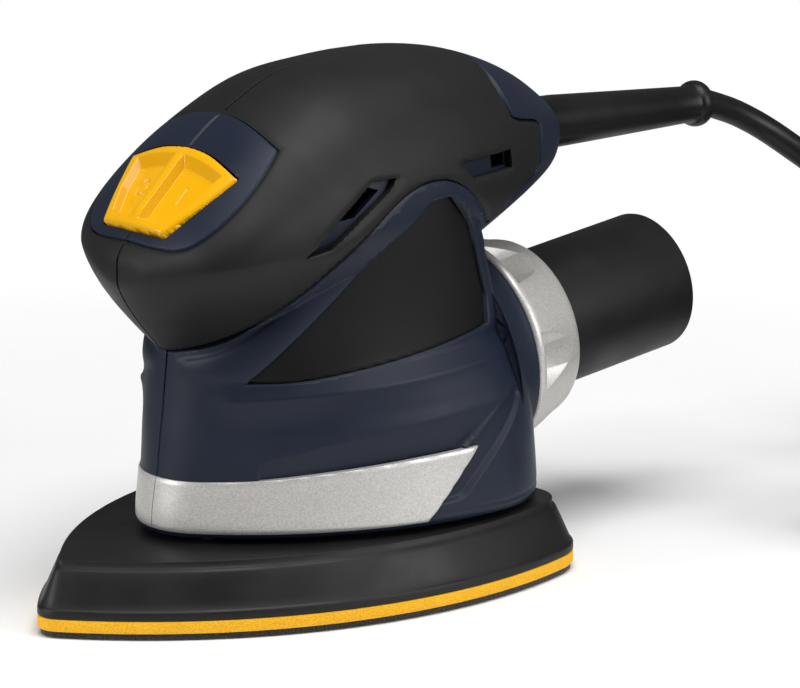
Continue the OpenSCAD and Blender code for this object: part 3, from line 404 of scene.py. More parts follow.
MOULDED = {
    "navy_plastic": dict(dark=(0.0075, 0.0115, 0.025), light=(0.0095, 0.0145, 0.030),
                         roughness=(0.40, 0.52), depth=0.016, Specular_IOR_Level=0.26),
    "soft_grip": dict(dark=(0.0055, 0.0055, 0.0056), light=(0.0080, 0.0080, 0.0080),
                      roughness=(0.50, 0.62), grain=0.3, depth=0.012, soften=0.35, Specular_IOR_Level=0.3),
    "panel_black": dict(dark=(0.0025, 0.0025, 0.0027), light=(0.0035, 0.0035, 0.0037),
                        roughness=(0.42, 0.5), grain=0.8, depth=0.004, Specular_IOR_Level=0.25),
    "rocker_yellow": dict(dark=(0.72, 0.36, 0.0), light=(0.77, 0.39, 0.0), roughness=(0.22, 0.30),
                          grain=3.0, depth=0.004, soften=0.2, Specular_IOR_Level=0.3, Coat_Weight=0.15,
                          Coat_Roughness=0.1),
    "black_plastic": dict(dark=(0.0045, 0.0045, 0.0046), light=(0.0070, 0.0070, 0.0070),
                          roughness=(0.42, 0.56), depth=0.018, Specular_IOR_Level=0.3),
    "rubber_black": dict(dark=(0.0045, 0.0045, 0.0046), light=(0.0070, 0.0070, 0.0070),
                         roughness=(0.32, 0.44), grain=0.6, depth=0.008, Specular_IOR_Level=0.3),
    "carbon": dict(dark=(0.01, 0.01, 0.011), light=(0.03, 0.03, 0.032), roughness=(0.3, 0.5), grain=0.3),
    "phenolic": dict(dark=(0.09, 0.035, 0.016), light=(0.15, 0.06, 0.03), roughness=(0.45, 0.6)),
    "fan_nylon": dict(dark=(0.02, 0.02, 0.022), light=(0.035, 0.035, 0.038), roughness=(0.35, 0.5)),
    "nylon_white": dict(dark=(0.60, 0.58, 0.53), light=(0.74, 0.72, 0.67), roughness=(0.35, 0.5)),
    "capacitor_yellow": dict(dark=(0.62, 0.38, 0.03), light=(0.72, 0.46, 0.05), roughness=(0.2, 0.35)),
    "wire_insulation": dict(dark=(0.10, 0.035, 0.012), light=(0.16, 0.06, 0.02), roughness=(0.3, 0.4)),
    "fuse_red": dict(dark=(0.28, 0.02, 0.015), light=(0.36, 0.03, 0.02), roughness=(0.3, 0.4)),
}
FINISH = {name: moulded(name, **values) for name, values in MOULDED.items()}
FINISH |= {
    "silver_paint": flake_paint("silver_paint", (0.44, 0.43, 0.41), (0.68, 0.67, 0.645), 0.16),
    "foam_yellow": foam_material(),
    "hook_fabric": fabric_material("hook_fabric", (0.004, 0.004, 0.004), (0.03, 0.03, 0.03)),
    "felt_grey": fabric_material("felt_grey", (0.12, 0.12, 0.11), (0.32, 0.32, 0.30)),
    "steel": turned_metal("steel", (0.35, 0.36, 0.37), (0.62, 0.63, 0.64)),
    "cast_zinc": turned_metal("cast_zinc", (0.30, 0.30, 0.32), (0.48, 0.48, 0.5), (0.4, 0.6)),
    "lamination": laminated_material(),
    "copper": winding_material(),
    "brass": turned_metal("brass", (0.58, 0.42, 0.16), (0.80, 0.62, 0.28)),
}


def finish_cad_nodes():
    """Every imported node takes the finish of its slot."""
    for entry in frame["record"]["subparts"]:
        node = NODES[entry["node"]]
        node.data.materials.clear()
        node.data.materials.append(FINISH[entry["material_slot"]])


finish_cad_nodes()
cord.data.materials.append(FINISH["rubber_black"])


# ---------------------------------------------------------------- light and floor

LIT_POINT = Vector((-0.02, 0.0, 0.07))
FLOOR_SIZE, FLOOR_DROP = 3.0, 0.0002
SHADOW_REACH, FLOOR_END = 0.16, 0.34


def area_light(name, where, size, power):
    """A soft lamp that points at the middle of the tool."""
    lamp = bpy.data.lights.new(name, "AREA")
    lamp.shape = "RECTANGLE"
    lamp.size, lamp.size_y = size
    lamp.energy = power
    turn = (Vector(where) - LIT_POINT).to_track_quat("Z", "Y").to_matrix().to_4x4()
    link(name, lamp).matrix_world = Matrix.Translation(where) @ turn


def set_light():
    area_light("overhead", (0.05, 0.25, 0.95), (0.8, 0.6), 9.0)
    area_light("left_window", (1.0, -0.35, 0.45), (0.4, 0.6), 7.0)
    area_light("right_window", (-0.45, 1.05, 0.5), (0.6, 0.7), 7.0)
    world = bpy.data.worlds.new("studio")
    world.use_nodes = True
    bpy.context.scene.world = world
    tree = world.node_tree
    sky = tree.nodes["Background"]
    sky.inputs["Color"].default_value = (1.0, 1.0, 1.0, 1.0)
    path = tree.nodes.new("ShaderNodeLightPath")
    tree.links.new(ranged(tree, path.outputs["Is Camera Ray"], 0.14, 1.0), sky.inputs["Strength"])
    bpy.context.scene.view_settings.view_transform = "Standard"


def make_floor():
    """A pale floor that shows white to the camera and keeps the tool's shadow."""
    corners = [(FLOOR_SIZE * x, FLOOR_SIZE * y, 0) for x, y in ((-1, -1), (1, -1), (1, 1), (-1, 1))]
    floor = link("floor", mesh_from("floor", corners, [(0, 1, 2, 3)]))
    floor.location.z = -FLOOR_DROP
    material, tree, shader = new_material("floor", Roughness=0.9)
    drift = placed(tree, MARKS, Size_mm=400.0)
    tinted(tree, shader, drift.outputs["Patches"], (0.88, 0.88, 0.88), (0.92, 0.92, 0.92))
    place = tree.nodes.new("ShaderNodeTexCoord")
    reach = tree.nodes.new("ShaderNodeVectorMath")
    reach.operation = "LENGTH"
    tree.links.new(place.outputs["Object"], reach.inputs[0])
    fade = ranged(tree, reach.outputs["Value"], 1.0, 0.0, SHADOW_REACH, FLOOR_END)
    tree.links.new(fade, shader.inputs["Alpha"])
    floor.data.materials.append(material)


# ---------------------------------------------------------------- forms of the body and the head

HOUSING_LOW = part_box("housing_left")[0]
GRIP_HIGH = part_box("grip_left")[1]
BASE_Z, HEAD_REAR = HOUSING_LOW[2] / MM, -HOUSING_LOW[0] / MM
HEAD_NOSE, HEAD_TOP = GRIP_HIGH[0] / MM, GRIP_HIGH[2] / MM
HEAD_HALF_W = 35.0
BODY_FRONT, BODY_REAR, BODY_HALF_W = 48.7, 55.2, 42.1
GRIP_T = 2.6
FAR = 150.0
SEAM_GAP = 0.1

# height, how far the front, the rear and the sides draw in, then nose, corner and side radius
BODY_ROWS = [(BASE_Z, 0.7, 0.8, 0.8, 17.3, 29.2, 87.2), (BASE_Z + 1.8, 0, 0, 0, 18, 30, 88),
             (BASE_Z + 13.6, 1.4, 0.2, 0.7, 19, 30, 88), (BASE_Z + 24.6, 2.7, 1, 1.7, 21, 30, 86),
             (BASE_Z + 30.6, 3.5, 2.2, 3.5, 22, 29, 85), (BASE_Z + 37.6, 4.3, 4.8, 6.9, 23, 27, 84),
             (BASE_Z + 42.6, 4.9, 7.2, 8.3, 23.5, 26, 84), (HEAD_TOP - 55, 6.3, 11.4, 9, 23.5, 25, 84),
             (HEAD_TOP - 42, 7.7, 15.2, 8.9, 23, 24, 84), (HEAD_TOP - 30, 10.7, 18.7, 9.2, 21, 22, 84),
             (HEAD_TOP - 22, 16.7, 22.2, 15.1, 18, 20, 84)]

# place, the depth below the top of the roof, the widest line and the underside,
# then how far the side draws in, and how round the lower half is
HEAD_ROWS = [(HEAD_NOSE, 42.5, 45, 47.5, 31, 1.6), (HEAD_NOSE - 0.7, 40.5, 44.5, 49.5, 26, 1.6),
             (HEAD_NOSE - 3.3, 36.8, 43, 54, 19, 1.5), (HEAD_NOSE - 8.3, 31.2, 42, 60.5, 10, 1.4),
             (HEAD_NOSE - 14.3, 25, 41, 66.5, 5, 1.35), (HEAD_NOSE - 22.3, 17.6, 40, 70, 2.2, 1.35),
             (HEAD_NOSE - 32.3, 10.5, 39, 72, 0.7, 1.35), (10, 2.8, 37, 72, 0, 1.4),
             (-7, 0.5, 35, 68, 0.2, 1.5), (-25, 0, 33, 62, 1.8, 1.6), (-40, 1.7, 31, 53, 5.4, 1.7),
             (24.5 - HEAD_REAR, 5.2, 29, 47, 10.5, 1.9), (14.5 - HEAD_REAR, 9.8, 28, 42.4, 15.7, 2.1),
             (6.5 - HEAD_REAR, 15.2, 27, 38.8, 20.2, 2.2), (2 - HEAD_REAR, 19, 26.5, 36, 24, 2.2),
             (-HEAD_REAR, 22, 26.5, 33, 27.5, 2.2)]
ROOF_POWER = 2.2
ARC_STEPS = 160
ROW_STEP, RING_STEP = 0.25, 0.5


def delta_outline(front, tip_r, rear, corner_y, corner_r, side_r, count):
    """Closed outline with that many even steps, from the tip round the left side first."""
    tip, corner = np.array([front - tip_r, 0.0]), np.array([corner_r - rear, corner_y])
    v = corner - tip
    d = hypot(*v)
    r1, r2 = side_r - tip_r, side_r - corner_r
    a = (r1 * r1 - r2 * r2 + d * d) / (2 * d)
    h = sqrt(r1 * r1 - a * a)
    centre = tip + a * v / d - h * np.array([v[1], -v[0]]) / d
    a1, a2 = (atan2(*(p - centre)[::-1]) for p in (tip, corner))

    def arc(c, r, start, stop):
        t = np.linspace(start, stop, ARC_STEPS)
        return np.stack([c[0] + r * np.cos(t), c[1] + r * np.sin(t)], 1)

    half = np.vstack([arc(tip, tip_r, 0, a1), arc(centre, side_r, a1, a2)[1:],
                      arc(corner, corner_r, a2, pi)[1:], [[-rear, 0.0]]])
    run = np.concatenate([[0], np.cumsum(np.hypot(*np.diff(half, axis=0).T))])
    even = np.linspace(0, run[-1], count // 2 + 1)
    half = np.stack([np.interp(even, run, half[:, 0]), np.interp(even, run, half[:, 1])], 1)
    return np.vstack([half, (half * (1, -1))[-2:0:-1]])


def eased_table(rows, step):
    """Rows eased by a monotone curve over their first column, which rises."""
    table = np.array(rows, float)
    x, y = table[:, 0], table[:, 1:]
    h = np.diff(x)[:, None]
    slope = np.diff(y, axis=0) / h
    tangent = np.zeros_like(y)
    same = slope[1:] * slope[:-1] > 0
    w1, w2 = 2 * h[1:] + h[:-1], h[1:] + 2 * h[:-1]
    safe = np.where(same, slope[1:], 1), np.where(same, slope[:-1], 1)
    tangent[1:-1] = np.where(same, (w1 + w2) / (w1 / safe[1] + w2 / safe[0]), 0)
    tangent[0], tangent[-1] = slope[0], slope[-1]
    at = np.append(np.arange(x[0], x[-1], step), x[-1])
    i = np.clip(np.searchsorted(x, at, side="right") - 1, 0, len(x) - 2)
    t, h = ((at - x[i]) / (x[i + 1] - x[i]))[:, None], (x[i + 1] - x[i])[:, None]
    out = ((2 * t ** 3 - 3 * t ** 2 + 1) * y[i] + (t ** 3 - 2 * t ** 2 + t) * h * tangent[i]
           + (3 * t ** 2 - 2 * t ** 3) * y[i + 1] + (t ** 3 - t ** 2) * h * tangent[i + 1])
    return np.column_stack([at, out])


def outward(grid):
    """Unit normals of a grid of rings."""
    across = np.roll(grid, -1, 1) - np.roll(grid, 1, 1)
    normal = np.cross(across, np.gradient(grid, axis=0))
    return normal / np.maximum(np.linalg.norm(normal, axis=-1, keepdims=True), 1e-9)


def sunk(grid, depth):
    """The grid with each point moved inward by its own depth."""
    return grid - depth.reshape(grid.shape[:2])[..., None] * outward(grid)


def grid_solid(name, grid):
    """A closed solid from rings of points, in millimetres, anticlockwise seen from the far end."""
    rings, count = grid.shape[:2]
    i, j = np.meshgrid(np.arange(rings - 1) * count, np.arange(count), indexing="ij")
    k = (j + 1) % count
    faces = np.stack([i + j, i + k, i + count + k, i + count + j], -1).reshape(-1, 4).tolist()
    faces += [list(range(count))[::-1], list(range((rings - 1) * count, rings * count))]
    return link(name, mesh_from(name, grid.reshape(-1, 3) * MM, faces))


def round_grid(profile, count):
    """Rings about an axis, one for each (radius, length)."""
    turn = np.linspace(0, 2 * pi, count, endpoint=False)
    return np.array([[(r * cos(a), r * sin(a), along) for a in turn] for r, along in profile])


def body_grid(inset=0.0, first=BASE_Z, count=560):
    """Rings of the housing's body, inset from its surface."""
    table = eased_table(BODY_ROWS, ROW_STEP)
    last = BODY_ROWS[-1][0]
    heights = np.append(np.arange(first, last - RING_STEP / 2, RING_STEP), last)
    rings = []
    for z in heights:
        front, rear, side, tip_r, corner_r, side_r = (
            np.interp(z, table[:, 0], table[:, column]) for column in range(1, 7))
        ring = delta_outline(BODY_FRONT - front - inset, tip_r - inset, BODY_REAR - rear - inset,
                             BODY_HALF_W - side - corner_r, corner_r - inset, side_r - inset, count)
        rings.append(np.column_stack([ring, np.full(len(ring), z)]))
    return np.array(rings)


def head_grid(inset=0.0, steps=8, count=224):
    """Rings of the head along its length, inset from its surface."""
    table = np.array(catmull(HEAD_ROWS, steps))[::-1]
    table = table[(table[:, 0] <= HEAD_NOSE - inset) & (table[:, 0] >= inset - HEAD_REAR)]
    table[:, 1] = table[:, 1].clip(0)
    a = np.linspace(0, 2 * pi, count, endpoint=False)
    rings = []
    for x, roof, wide, under, side, power in table:
        up = np.sin(a) >= 0
        p = np.where(up, 2 / ROOF_POWER, 2 / power)
        y = (HEAD_HALF_W - side - inset) * np.sign(np.cos(a)) * np.abs(np.cos(a)) ** p
        rise = np.where(up, wide - roof - inset, under - wide - inset)
        z = HEAD_TOP - wide + rise * np.sign(np.sin(a)) * np.abs(np.sin(a)) ** p
        rings.append(np.stack([np.full(count, x), y, z], 1))
    return np.array(rings)


# ---------------------------------------------------------------- cutting and joining

def combined(piece, other, operation, drop=True):
    """The piece joined with, cut by or kept inside the other one."""
    step = piece.modifiers.new("step", "BOOLEAN")
    step.operation = operation
    step.solver = "MANIFOLD"
    step.object = other
    held = piece.evaluated_get(bpy.context.evaluated_depsgraph_get())
    mesh = bpy.data.meshes.new_from_object(held)
    piece.modifiers.clear()
    old = piece.data
    piece.data = mesh
    bpy.data.meshes.remove(old)
    if drop:
        bpy.data.objects.remove(other)
    return piece


def cut(piece, *tools):
    """The piece cut by each tool, which is used up."""
    for tool in tools:
        combined(piece, tool, "DIFFERENCE")
    return piece


def copied(piece, name):
    twin = piece.copy()
    twin.data = piece.data.copy()
    twin.name = name
    bpy.context.scene.collection.objects.link(twin)
    return twin


def block(name, low, high):
    (x0, y0, z0), (x1, y1, z1) = low, high
    points = [(x, y, z) for z in (z0, z1) for x, y in ((x0, y0), (x1, y0), (x1, y1), (x0, y1))]
    faces = [(3, 2, 1, 0), (4, 5, 6, 7), (0, 1, 5, 4), (1, 2, 6, 5), (2, 3, 7, 6), (3, 0, 4, 7)]
    return link(name, mesh_from(name, np.array(points) * MM, faces))


def prism(name, outline, start=-FAR, stop=FAR, place=None):
    """An outline in x and z pushed along y, or in x and y pushed along z where a place is given."""
    n = len(outline)
    ring = np.array(outline, float)
    area = 0.5 * np.sum(ring[:, 0] * np.roll(ring[:, 1], -1) - ring[:, 1] * np.roll(ring[:, 0], -1))
    if (area > 0) == (place is None):
        ring = ring[::-1]
    if place is None:
        points = np.vstack([np.column_stack([ring[:, 0], np.full(n, y), ring[:, 1]]) for y in (start, stop)])
    else:
        points = np.vstack([np.column_stack([ring, np.full(n, z)]) for z in (start, stop)])
    faces = [list(range(n))[::-1], list(range(n, 2 * n))]
    faces += [(i, (i + 1) % n, n + (i + 1) % n, n + i) for i in range(n)]
    piece = link(name, mesh_from(name, points * MM, faces))
    if place is not None:
        piece.data.transform(place)
    return piece


def half_space(side):
    """All that lies left or right of the seam."""
    reach = sorted((side * SEAM_GAP, side * FAR))
    return block("half", (-FAR, reach[0], -FAR), (FAR, reach[1], FAR))


def one_side(piece, node):
    """The piece's half on the side that the node's name ends with, under its own name."""
    side = 1 if node.endswith("left") else -1
    return combined(copied(piece, node + "_skin"), half_space(side), "INTERSECT")


def finished(piece, finish, body="housing", replaces=(), crease=32.0):
    """Sharp edges, the finish, the body it rides on and the frame's nodes that it stands for."""
    mesh = piece.data
    mesh.polygons.foreach_set("use_smooth", [True] * len(mesh.polygons))
    mesh.set_sharp_from_angle(angle=radians(crease))
    mesh.materials.clear()
    mesh.materials.append(FINISH[finish])
    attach(piece, body)
    if replaces:
        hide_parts(*replaces)
    return piece


def offset_outline(points, d):
    """The outline moved outward by d, with mitred corners."""
    p = np.array(points, float)
    area = np.sum(p[:, 0] * np.roll(p[:, 1], -1) - p[:, 1] * np.roll(p[:, 0], -1))
    turn = 1.0 if area > 0 else -1.0
    e = np.roll(p, -1, 0) - p
    e /= np.linalg.norm(e, axis=1)[:, None]
    normal = np.stack([e[:, 1], -e[:, 0]], 1) * turn
    before = np.roll(normal, 1, 0)
    mitre = normal + before
    mitre /= np.maximum((mitre * normal).sum(1), 0.35)[:, None]
    return p + d * mitre


def distance_to(points, line, closed=True):
    """Distance from each point to a line of points."""
    line = np.array(line, float)
    ends = np.roll(line, -1, 0) if closed else line[1:]
    starts = line if closed else line[:-1]
    best = np.full(len(points), 1e9)
    for a, b in zip(starts, ends):
        e = b - a
        t = np.clip(((points - a) @ e) / (e @ e), 0, 1)
        best = np.minimum(best, np.hypot(*(points - a - t[:, None] * e).T))
    return best


def inside(points, outline):
    x, y = points.T
    hit = np.zeros(len(points), bool)
    p = np.array(outline, float)
    for (x0, y0), (x1, y1) in zip(p, np.roll(p, -1, 0)):
        cross = (y0 > y) != (y1 > y)
        with np.errstate(divide="ignore", invalid="ignore"):
            at = x0 + (y - y0) * (x1 - x0) / (y1 - y0)
        hit ^= cross & (x < at)
    return hit


def ramp(v, low, high):
    t = np.clip((v - low) / (high - low), 0, 1)
    return t * t * (3 - 2 * t)


# ---------------------------------------------------------------- outlines from the side, as (x, z)

def below_top(*points):
    """Points given by their place and their depth below the top of the head."""
    return [(x, HEAD_TOP - depth) for x, depth in points]


def above_base(*points):
    """Points given by their place and their height above the housing's lower rim."""
    return [(x, BASE_Z + height) for x, height in points]


GRIP_EDGE = smoothed(below_top((44, 66.7), (35, 61), (26.4, 53.4), (14.3, 41.7), (-2.1, 30.2), (-14, 27.6),
                               (-22.5, 30.4), (-30, 36.8), (-37.5, 43)), 8)
GRIP_BACK = smoothed(below_top((-44, 38), (-51.6, 35.2), (-57.4, 33.2)), 4) + smoothed(
    below_top((-58.9, 31), (-59.8, 21.4), (-57, 19.6), (-48, 17.6), (-45.7, 15), (-45.4, 8), (-48, -5)), 5)
GRIP_ZONE = (below_top((HEAD_NOSE + 12, 85)) + GRIP_EDGE + GRIP_BACK + below_top((HEAD_NOSE + 12, -5)))
PANEL_EDGE = (smoothed(above_base((34.5, 38), (24, 37.8), (8, 39.6), (-12, 42.2), (-31, 45)), 6)
              + above_base((-32.4, 52)) + below_top((-27, 41))
              + smoothed(below_top((-19.6, 32.8), (-18.2, 31.9), (-11.4, 32), (-9.8, 32.6)), 3)
              + below_top((2, 41), (12, 51)))
BAND_TOP = smoothed(above_base((BODY_FRONT + 9, 13.4), (34, 14.2), (18.8, 15.5), (2.3, 16.7), (-8.5, 17.3),
                               (-19.8, 17.7)), 5)
BAND_EDGE = BAND_TOP + above_base((-4.2, 1.2), (BODY_FRONT + 9, 1.2))
SWELL_LINE = [(33, 37.2), (30.8, 38.6), (26.9, 39.4), (18.5, 41.7), (7, 43.8), (-6.2, 45.2), (-18.4, 46.5),
              (-31.3, 47.6), (-39.6, 48.0)]
CREASE = [(-15.4, 36.6), (-17.4, 38.1), (-22.5, 41.7), (-28.6, 45.5), (-34.6, 48.4)]
FACET = [(-5.8, 24.5), (-9.3, 24.5), (-13.5, 24.7), (-15.2, 25.3), (-20.1, 29.7), (-27.2, 36), (-34, 42),
         (-37.6, 45.6), (-38.2, 46.9), (-37.4, 48.1), (-35.6, 48.6)] + CREASE[::-1] + [(-16.5, 36.6)]
VENTS = [below_top((27, 40.5), (17, 32.5), (6.6, 25.2), (0, 25.4), (1.9, 27.6), (12, 33.8), (20.5, 39.4)),
         below_top((-22.6, 24.5), (-42, 24.5), (-42, 28.4), (-26.4, 28.4))]
VENTS_BEHIND = [below_top((17, 33.4), (8, 26.6), (4.5, 27.8), (12, 33)),
                below_top((-36, 25.2), (-41, 25.2), (-41, 27.8), (-36, 27.8))]

BEAD, GROOVE, CREST, FACET_SINK, FOOT_STEP = 0.9, 0.45, 1.5, 1.0, 0.3
HOLLOW, HOLLOW_SHARE = 2.0, 0.24
CREST_REAR, CREST_FRONT = (-34.6, 57.2), (40, 53.0)
CREST_ABOVE, CREST_BELOW, CREST_BEND = 4.5, 8.0, 1.7
FOOT_Z = BASE_Z + 2.6


def body_relief(x, z):
    """How far the body stands out, in millimetres: the bead, crest, hollow, facet and grooves."""
    p = np.stack([x, z], 1)
    to_panel = np.where(inside(p, PANEL_EDGE), 0.0, distance_to(p, PANEL_EDGE))
    to_grip = distance_to(p, GRIP_EDGE, closed=False)
    width = to_panel + to_grip
    # bead between the panel and the grip, and round the panel's rear edge
    t = np.clip(to_panel / np.maximum(width - 1.5, 0.5), 0, 1)
    bead = BEAD * np.sqrt(np.sin(pi * t).clip(0)) * (1 - ramp(width, 9, 15)) * ramp(z, 52, 60)
    behind = ramp(-x, 27, 31) * ramp(z, 61, 66) * (1 - ramp(z, 88, 93))
    rear_bead = BEAD * np.sqrt(np.sin(pi * np.clip(to_panel / 6.0, 0, 1)).clip(0)) * behind
    out = np.maximum(bead, rear_bead)
    # groove beside the grip
    out -= GROOVE * (1 - ramp(to_grip, 1.0, 1.6)) * (1 - ramp(to_panel, 12, 16))
    # crest of the swell, from the bead's front end to the rear corner
    rise = z - np.interp(x, *zip(CREST_REAR, CREST_FRONT))
    along = ramp(x, -44, -30) * (1 - ramp(x, 36, 42))
    out += CREST * along * np.where(rise > 0, np.clip(1 - rise / CREST_ABOVE, 0, 1),
                                    np.clip(1 + rise / CREST_BELOW, 0, 1) ** CREST_BEND)
    # hollow above the band, and the facet behind it
    top, low = (np.interp(x, *np.array(sorted(line)).T) for line in (SWELL_LINE, BAND_TOP))
    reach = np.maximum(top - low, 0.1)
    deep = np.minimum(HOLLOW, HOLLOW_SHARE * reach) * np.clip((top - z) / reach, 0, 1) * (z > low - 2)
    lean_x, lean_z = zip(*CREASE)
    edge = np.interp(z, lean_z, lean_x)
    out -= deep * ramp(x - edge, -0.2, 0.7) * (x < SWELL_LINE[0][0]) * (z < top)
    out -= FACET_SINK * ramp(np.where(inside(p, FACET), distance_to(p, FACET), 0.0), 0.0, 0.9)
    # step above the lower rim, behind the band
    out -= FOOT_STEP * (1 - ramp(np.abs(z - FOOT_Z), 0.15, 0.5)) * (1 - ramp(x, -9, -6))
    return out


def relief_body():
    """The body with its relief, which belongs to the sides and fades on the blunt front and rear."""
    grid = body_grid()
    flat = grid.reshape(-1, 3)
    along = (np.roll(grid, -1, 1) - np.roll(grid, 1, 1))[..., :2]
    normal = np.stack([along[..., 1], -along[..., 0]], -1)
    normal /= np.linalg.norm(normal, axis=-1)[..., None]
    push = body_relief(flat[:, 0], flat[:, 2]).reshape(grid.shape[:2])
    push *= ramp(np.abs(normal[..., 1]), 0.10, 0.30)
    grid[..., :2] += normal * push[..., None]
    return grid_solid("skin", grid)


# ---------------------------------------------------------------- tilted face, port and guard places

def turned_place(where, degrees_about_y):
    return Matrix.Translation(Vector(where) * MM) @ Matrix.Rotation(radians(degrees_about_y), 4, "Y")


FACE = turned_place((HEAD_NOSE - 13.1, 0, HEAD_TOP - 26.3), 43.4)
PORT = turned_place((-BODY_REAR - 16.1, 0, BASE_Z + 32.6), 7.05 - 90)
GUARD = turned_place((-HEAD_REAR + 0.5, 0, HEAD_TOP - 25.8), -91.8)


def mirrored(half):
    return list(half) + [(x, -y) for x, y in reversed(half) if y > 0.01]


BEZEL = mirrored(smoothed([(-24.7, 0), (-23.6, 9), (-20.4, 20.9)], 5)[:-1] + smoothed(
    [(-20.4, 20.9), (-19.4, 21.9), (-12, 23.7), (-4, 24.3), (4, 23.3), (10, 20.5), (13.6, 16), (14.9, 9),
     (15, 0)], 4))
ROCKER = mirrored(smoothed([(-12.3, 0), (-11.5, 9), (-8.6, 18.9)], 5)[:-1] + smoothed(
    [(-8.6, 18.9), (-7.4, 19.5), (1.4, 16.5), (10.6, 12.2), (11.9, 10.9)], 4)[:-1]
    + [(11.9, 10.9), (12.2, 0)])


def turned_solid(name, profile, place, count):
    """A closed profile of (radius, length) turned about its axis."""
    rings = []
    for i in range(count):
        a = 2 * pi * i / count
        rings.append([(r * cos(a), r * sin(a), s) for r, s in profile])
    grid = np.array(rings)
    n, m = grid.shape[:2]
    faces = [(i * m + j, i * m + (j + 1) % m, ((i + 1) % n) * m + (j + 1) % m, ((i + 1) % n) * m + j)
             for i in range(n) for j in range(m)]
    ring = np.array(profile)
    area = np.sum(ring[:, 0] * np.roll(ring[:, 1], -1) - ring[:, 1] * np.roll(ring[:, 0], -1))
    if area > 0:
        faces = [f[::-1] for f in faces]
    piece = link(name, mesh_from(name, grid.reshape(-1, 3) * MM, faces))
    piece.data.transform(place)
    return piece


def disc_solid(name, radius, start, stop, place, count=160):
    """A closed cylinder."""
    piece = grid_solid(name, round_grid([(radius, start), (radius, stop)], count))
    piece.data.transform(place)
    return piece


# ---------------------------------------------------------------- housing, grips, band and panels

SCREWS = above_base((36, 37.6), (-37, 52), (-50, 5.6)) + below_top((46, 53), (12, 13), (-48, 13.5))
WELL_R, WELL_START = 3.8, 11
SKIN, ROOM_UNDER_GRIP = 2.3, 1.4
SEAM_LIP, SEAM_DEPTH = 0.3, 0.6
PART_GAP = 0.3
PANEL_GAP, PANEL_SEAT = 0.15, 1.9
BAND_GAP, BAND_SEAT = 0.1, 1.5
FIT_GAP = 0.05
GRIP_EDGE_W, GRIP_EDGE_DROP = 1.3, 0.8
VENT_SIDE, FACE_REACH, BELOW = 18, 18, 5
CORD_R = CORD_D / MM / 2
TUBE_R, TUBE_WALL, TUBE_LEN = 18.15, 1.95, 45.1
RING_LEN = 19.0
SPIGOT_R = TUBE_R + 2.1
BOSS_R = SPIGOT_R + 8.3
PORT_FACE = -RING_LEN - 0.3
GUARD_R0, GUARD_R1, GUARD_LEN = CORD_R + 3.3, CORD_R + 1.3, 55.0
BEAD_W = 4.4


def lip(d, width, depth):
    """Push inward that rounds an edge, d inside it."""
    t = 1 - np.clip(d / width, 0, 1)
    return depth * (1 - np.sqrt(1 - t * t))


def face_prism(name, outline, d, start, stop):
    return prism(name, offset_outline(outline, d), start, stop, FACE)


def packed_copy(node, name):
    """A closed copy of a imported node, with its shared points joined."""
    mesh = bpy.data.meshes.new(name)
    welded = bmesh.new()
    welded.from_mesh(NODES[node].data)
    bmesh.ops.remove_doubles(welded, verts=welded.verts, dist=1e-6)
    welded.to_mesh(mesh)
    welded.free()
    return link(name, mesh)


def packed_inside(node, room, name):
    """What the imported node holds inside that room."""
    return combined(packed_copy(node, name), room, "INTERSECT", drop=False)


def lipped_grip():
    """The head's surface with its edges rounded along the grip's outline, the bezel and the vents."""
    grid = head_grid(steps=10, count=320)
    flat = grid.reshape(-1, 3)
    seen = flat[:, [0, 2]]
    inverse = np.array(FACE.inverted())
    local = (flat * MM) @ inverse[:3, :3].T + inverse[:3, 3]
    on_face = local[:, :2] / MM
    near_face = local[:, 2] / MM > -FACE_REACH
    edge = np.minimum(*(distance_to(seen, line, closed=False) for line in (GRIP_EDGE, GRIP_BACK)))
    edge = np.minimum(edge, np.where(near_face, distance_to(on_face, BEZEL), FAR))
    vents = np.minimum(*(distance_to(seen, vent) for vent in VENTS))
    edge = np.minimum(edge, np.where(np.abs(flat[:, 1]) > VENT_SIDE, vents, FAR)) - PART_GAP
    return grid_solid("grip_skin", sunk(grid, lip(np.maximum(edge, 0), GRIP_EDGE_W, GRIP_EDGE_DROP)))


def port_boss():
    """The neck that carries the lock ring: it flares into the body."""
    rings = [(BOSS_R + 8.5, PORT_FACE - 14), (BOSS_R + 4.2, PORT_FACE - 11), (BOSS_R + 1.8, PORT_FACE - 8),
             (BOSS_R + 0.6, PORT_FACE - 5), (BOSS_R + 0.1, PORT_FACE - 2.5), (BOSS_R, PORT_FACE - 0.7),
             (BOSS_R - 0.7, PORT_FACE)]
    piece = grid_solid("boss", round_grid(catmull(rings, 4), 200))
    piece.data.transform(PORT)
    return piece


def screw_well(x, z):
    place = Matrix.Translation(Vector((x, -WELL_START, z)) * MM) @ Matrix.Rotation(radians(90), 4, "X")
    return disc_solid("well", WELL_R, 0, FAR, place, count=48)


def housing_shell(room, under_grip):
    """Both halves' outside in one: body, head and port, with seats for all that is let in."""
    grip_cut = combined(prism("grip_cut", GRIP_ZONE), under_grip, "DIFFERENCE", drop=False)
    cut(grip_cut, face_prism("bezel", BEZEL, 0.0, -30, 30))
    skin = combined(relief_body(), grid_solid("skin_head", head_grid()), "UNION")
    combined(skin, port_boss(), "UNION")
    cut(skin, grip_cut)
    combined(skin, room, "DIFFERENCE", drop=False)
    return cut(skin,
               cut(prism("panel_cut", offset_outline(PANEL_EDGE, PANEL_GAP)),
                   grid_solid("core", body_grid(PANEL_SEAT))),
               cut(prism("band_cut", offset_outline(BAND_EDGE, BAND_GAP)),
                   grid_solid("core", body_grid(BAND_SEAT))),
               disc_solid("port", SPIGOT_R + FIT_GAP, -60, 40, PORT),
               disc_solid("port_end", BOSS_R + 12, PORT_FACE, 40, PORT),
               disc_solid("cord_hole", GUARD_R0 + FIT_GAP, -14, 26, GUARD),
               face_prism("rocker_hole", ROCKER, 0.5, -9.5, 30))


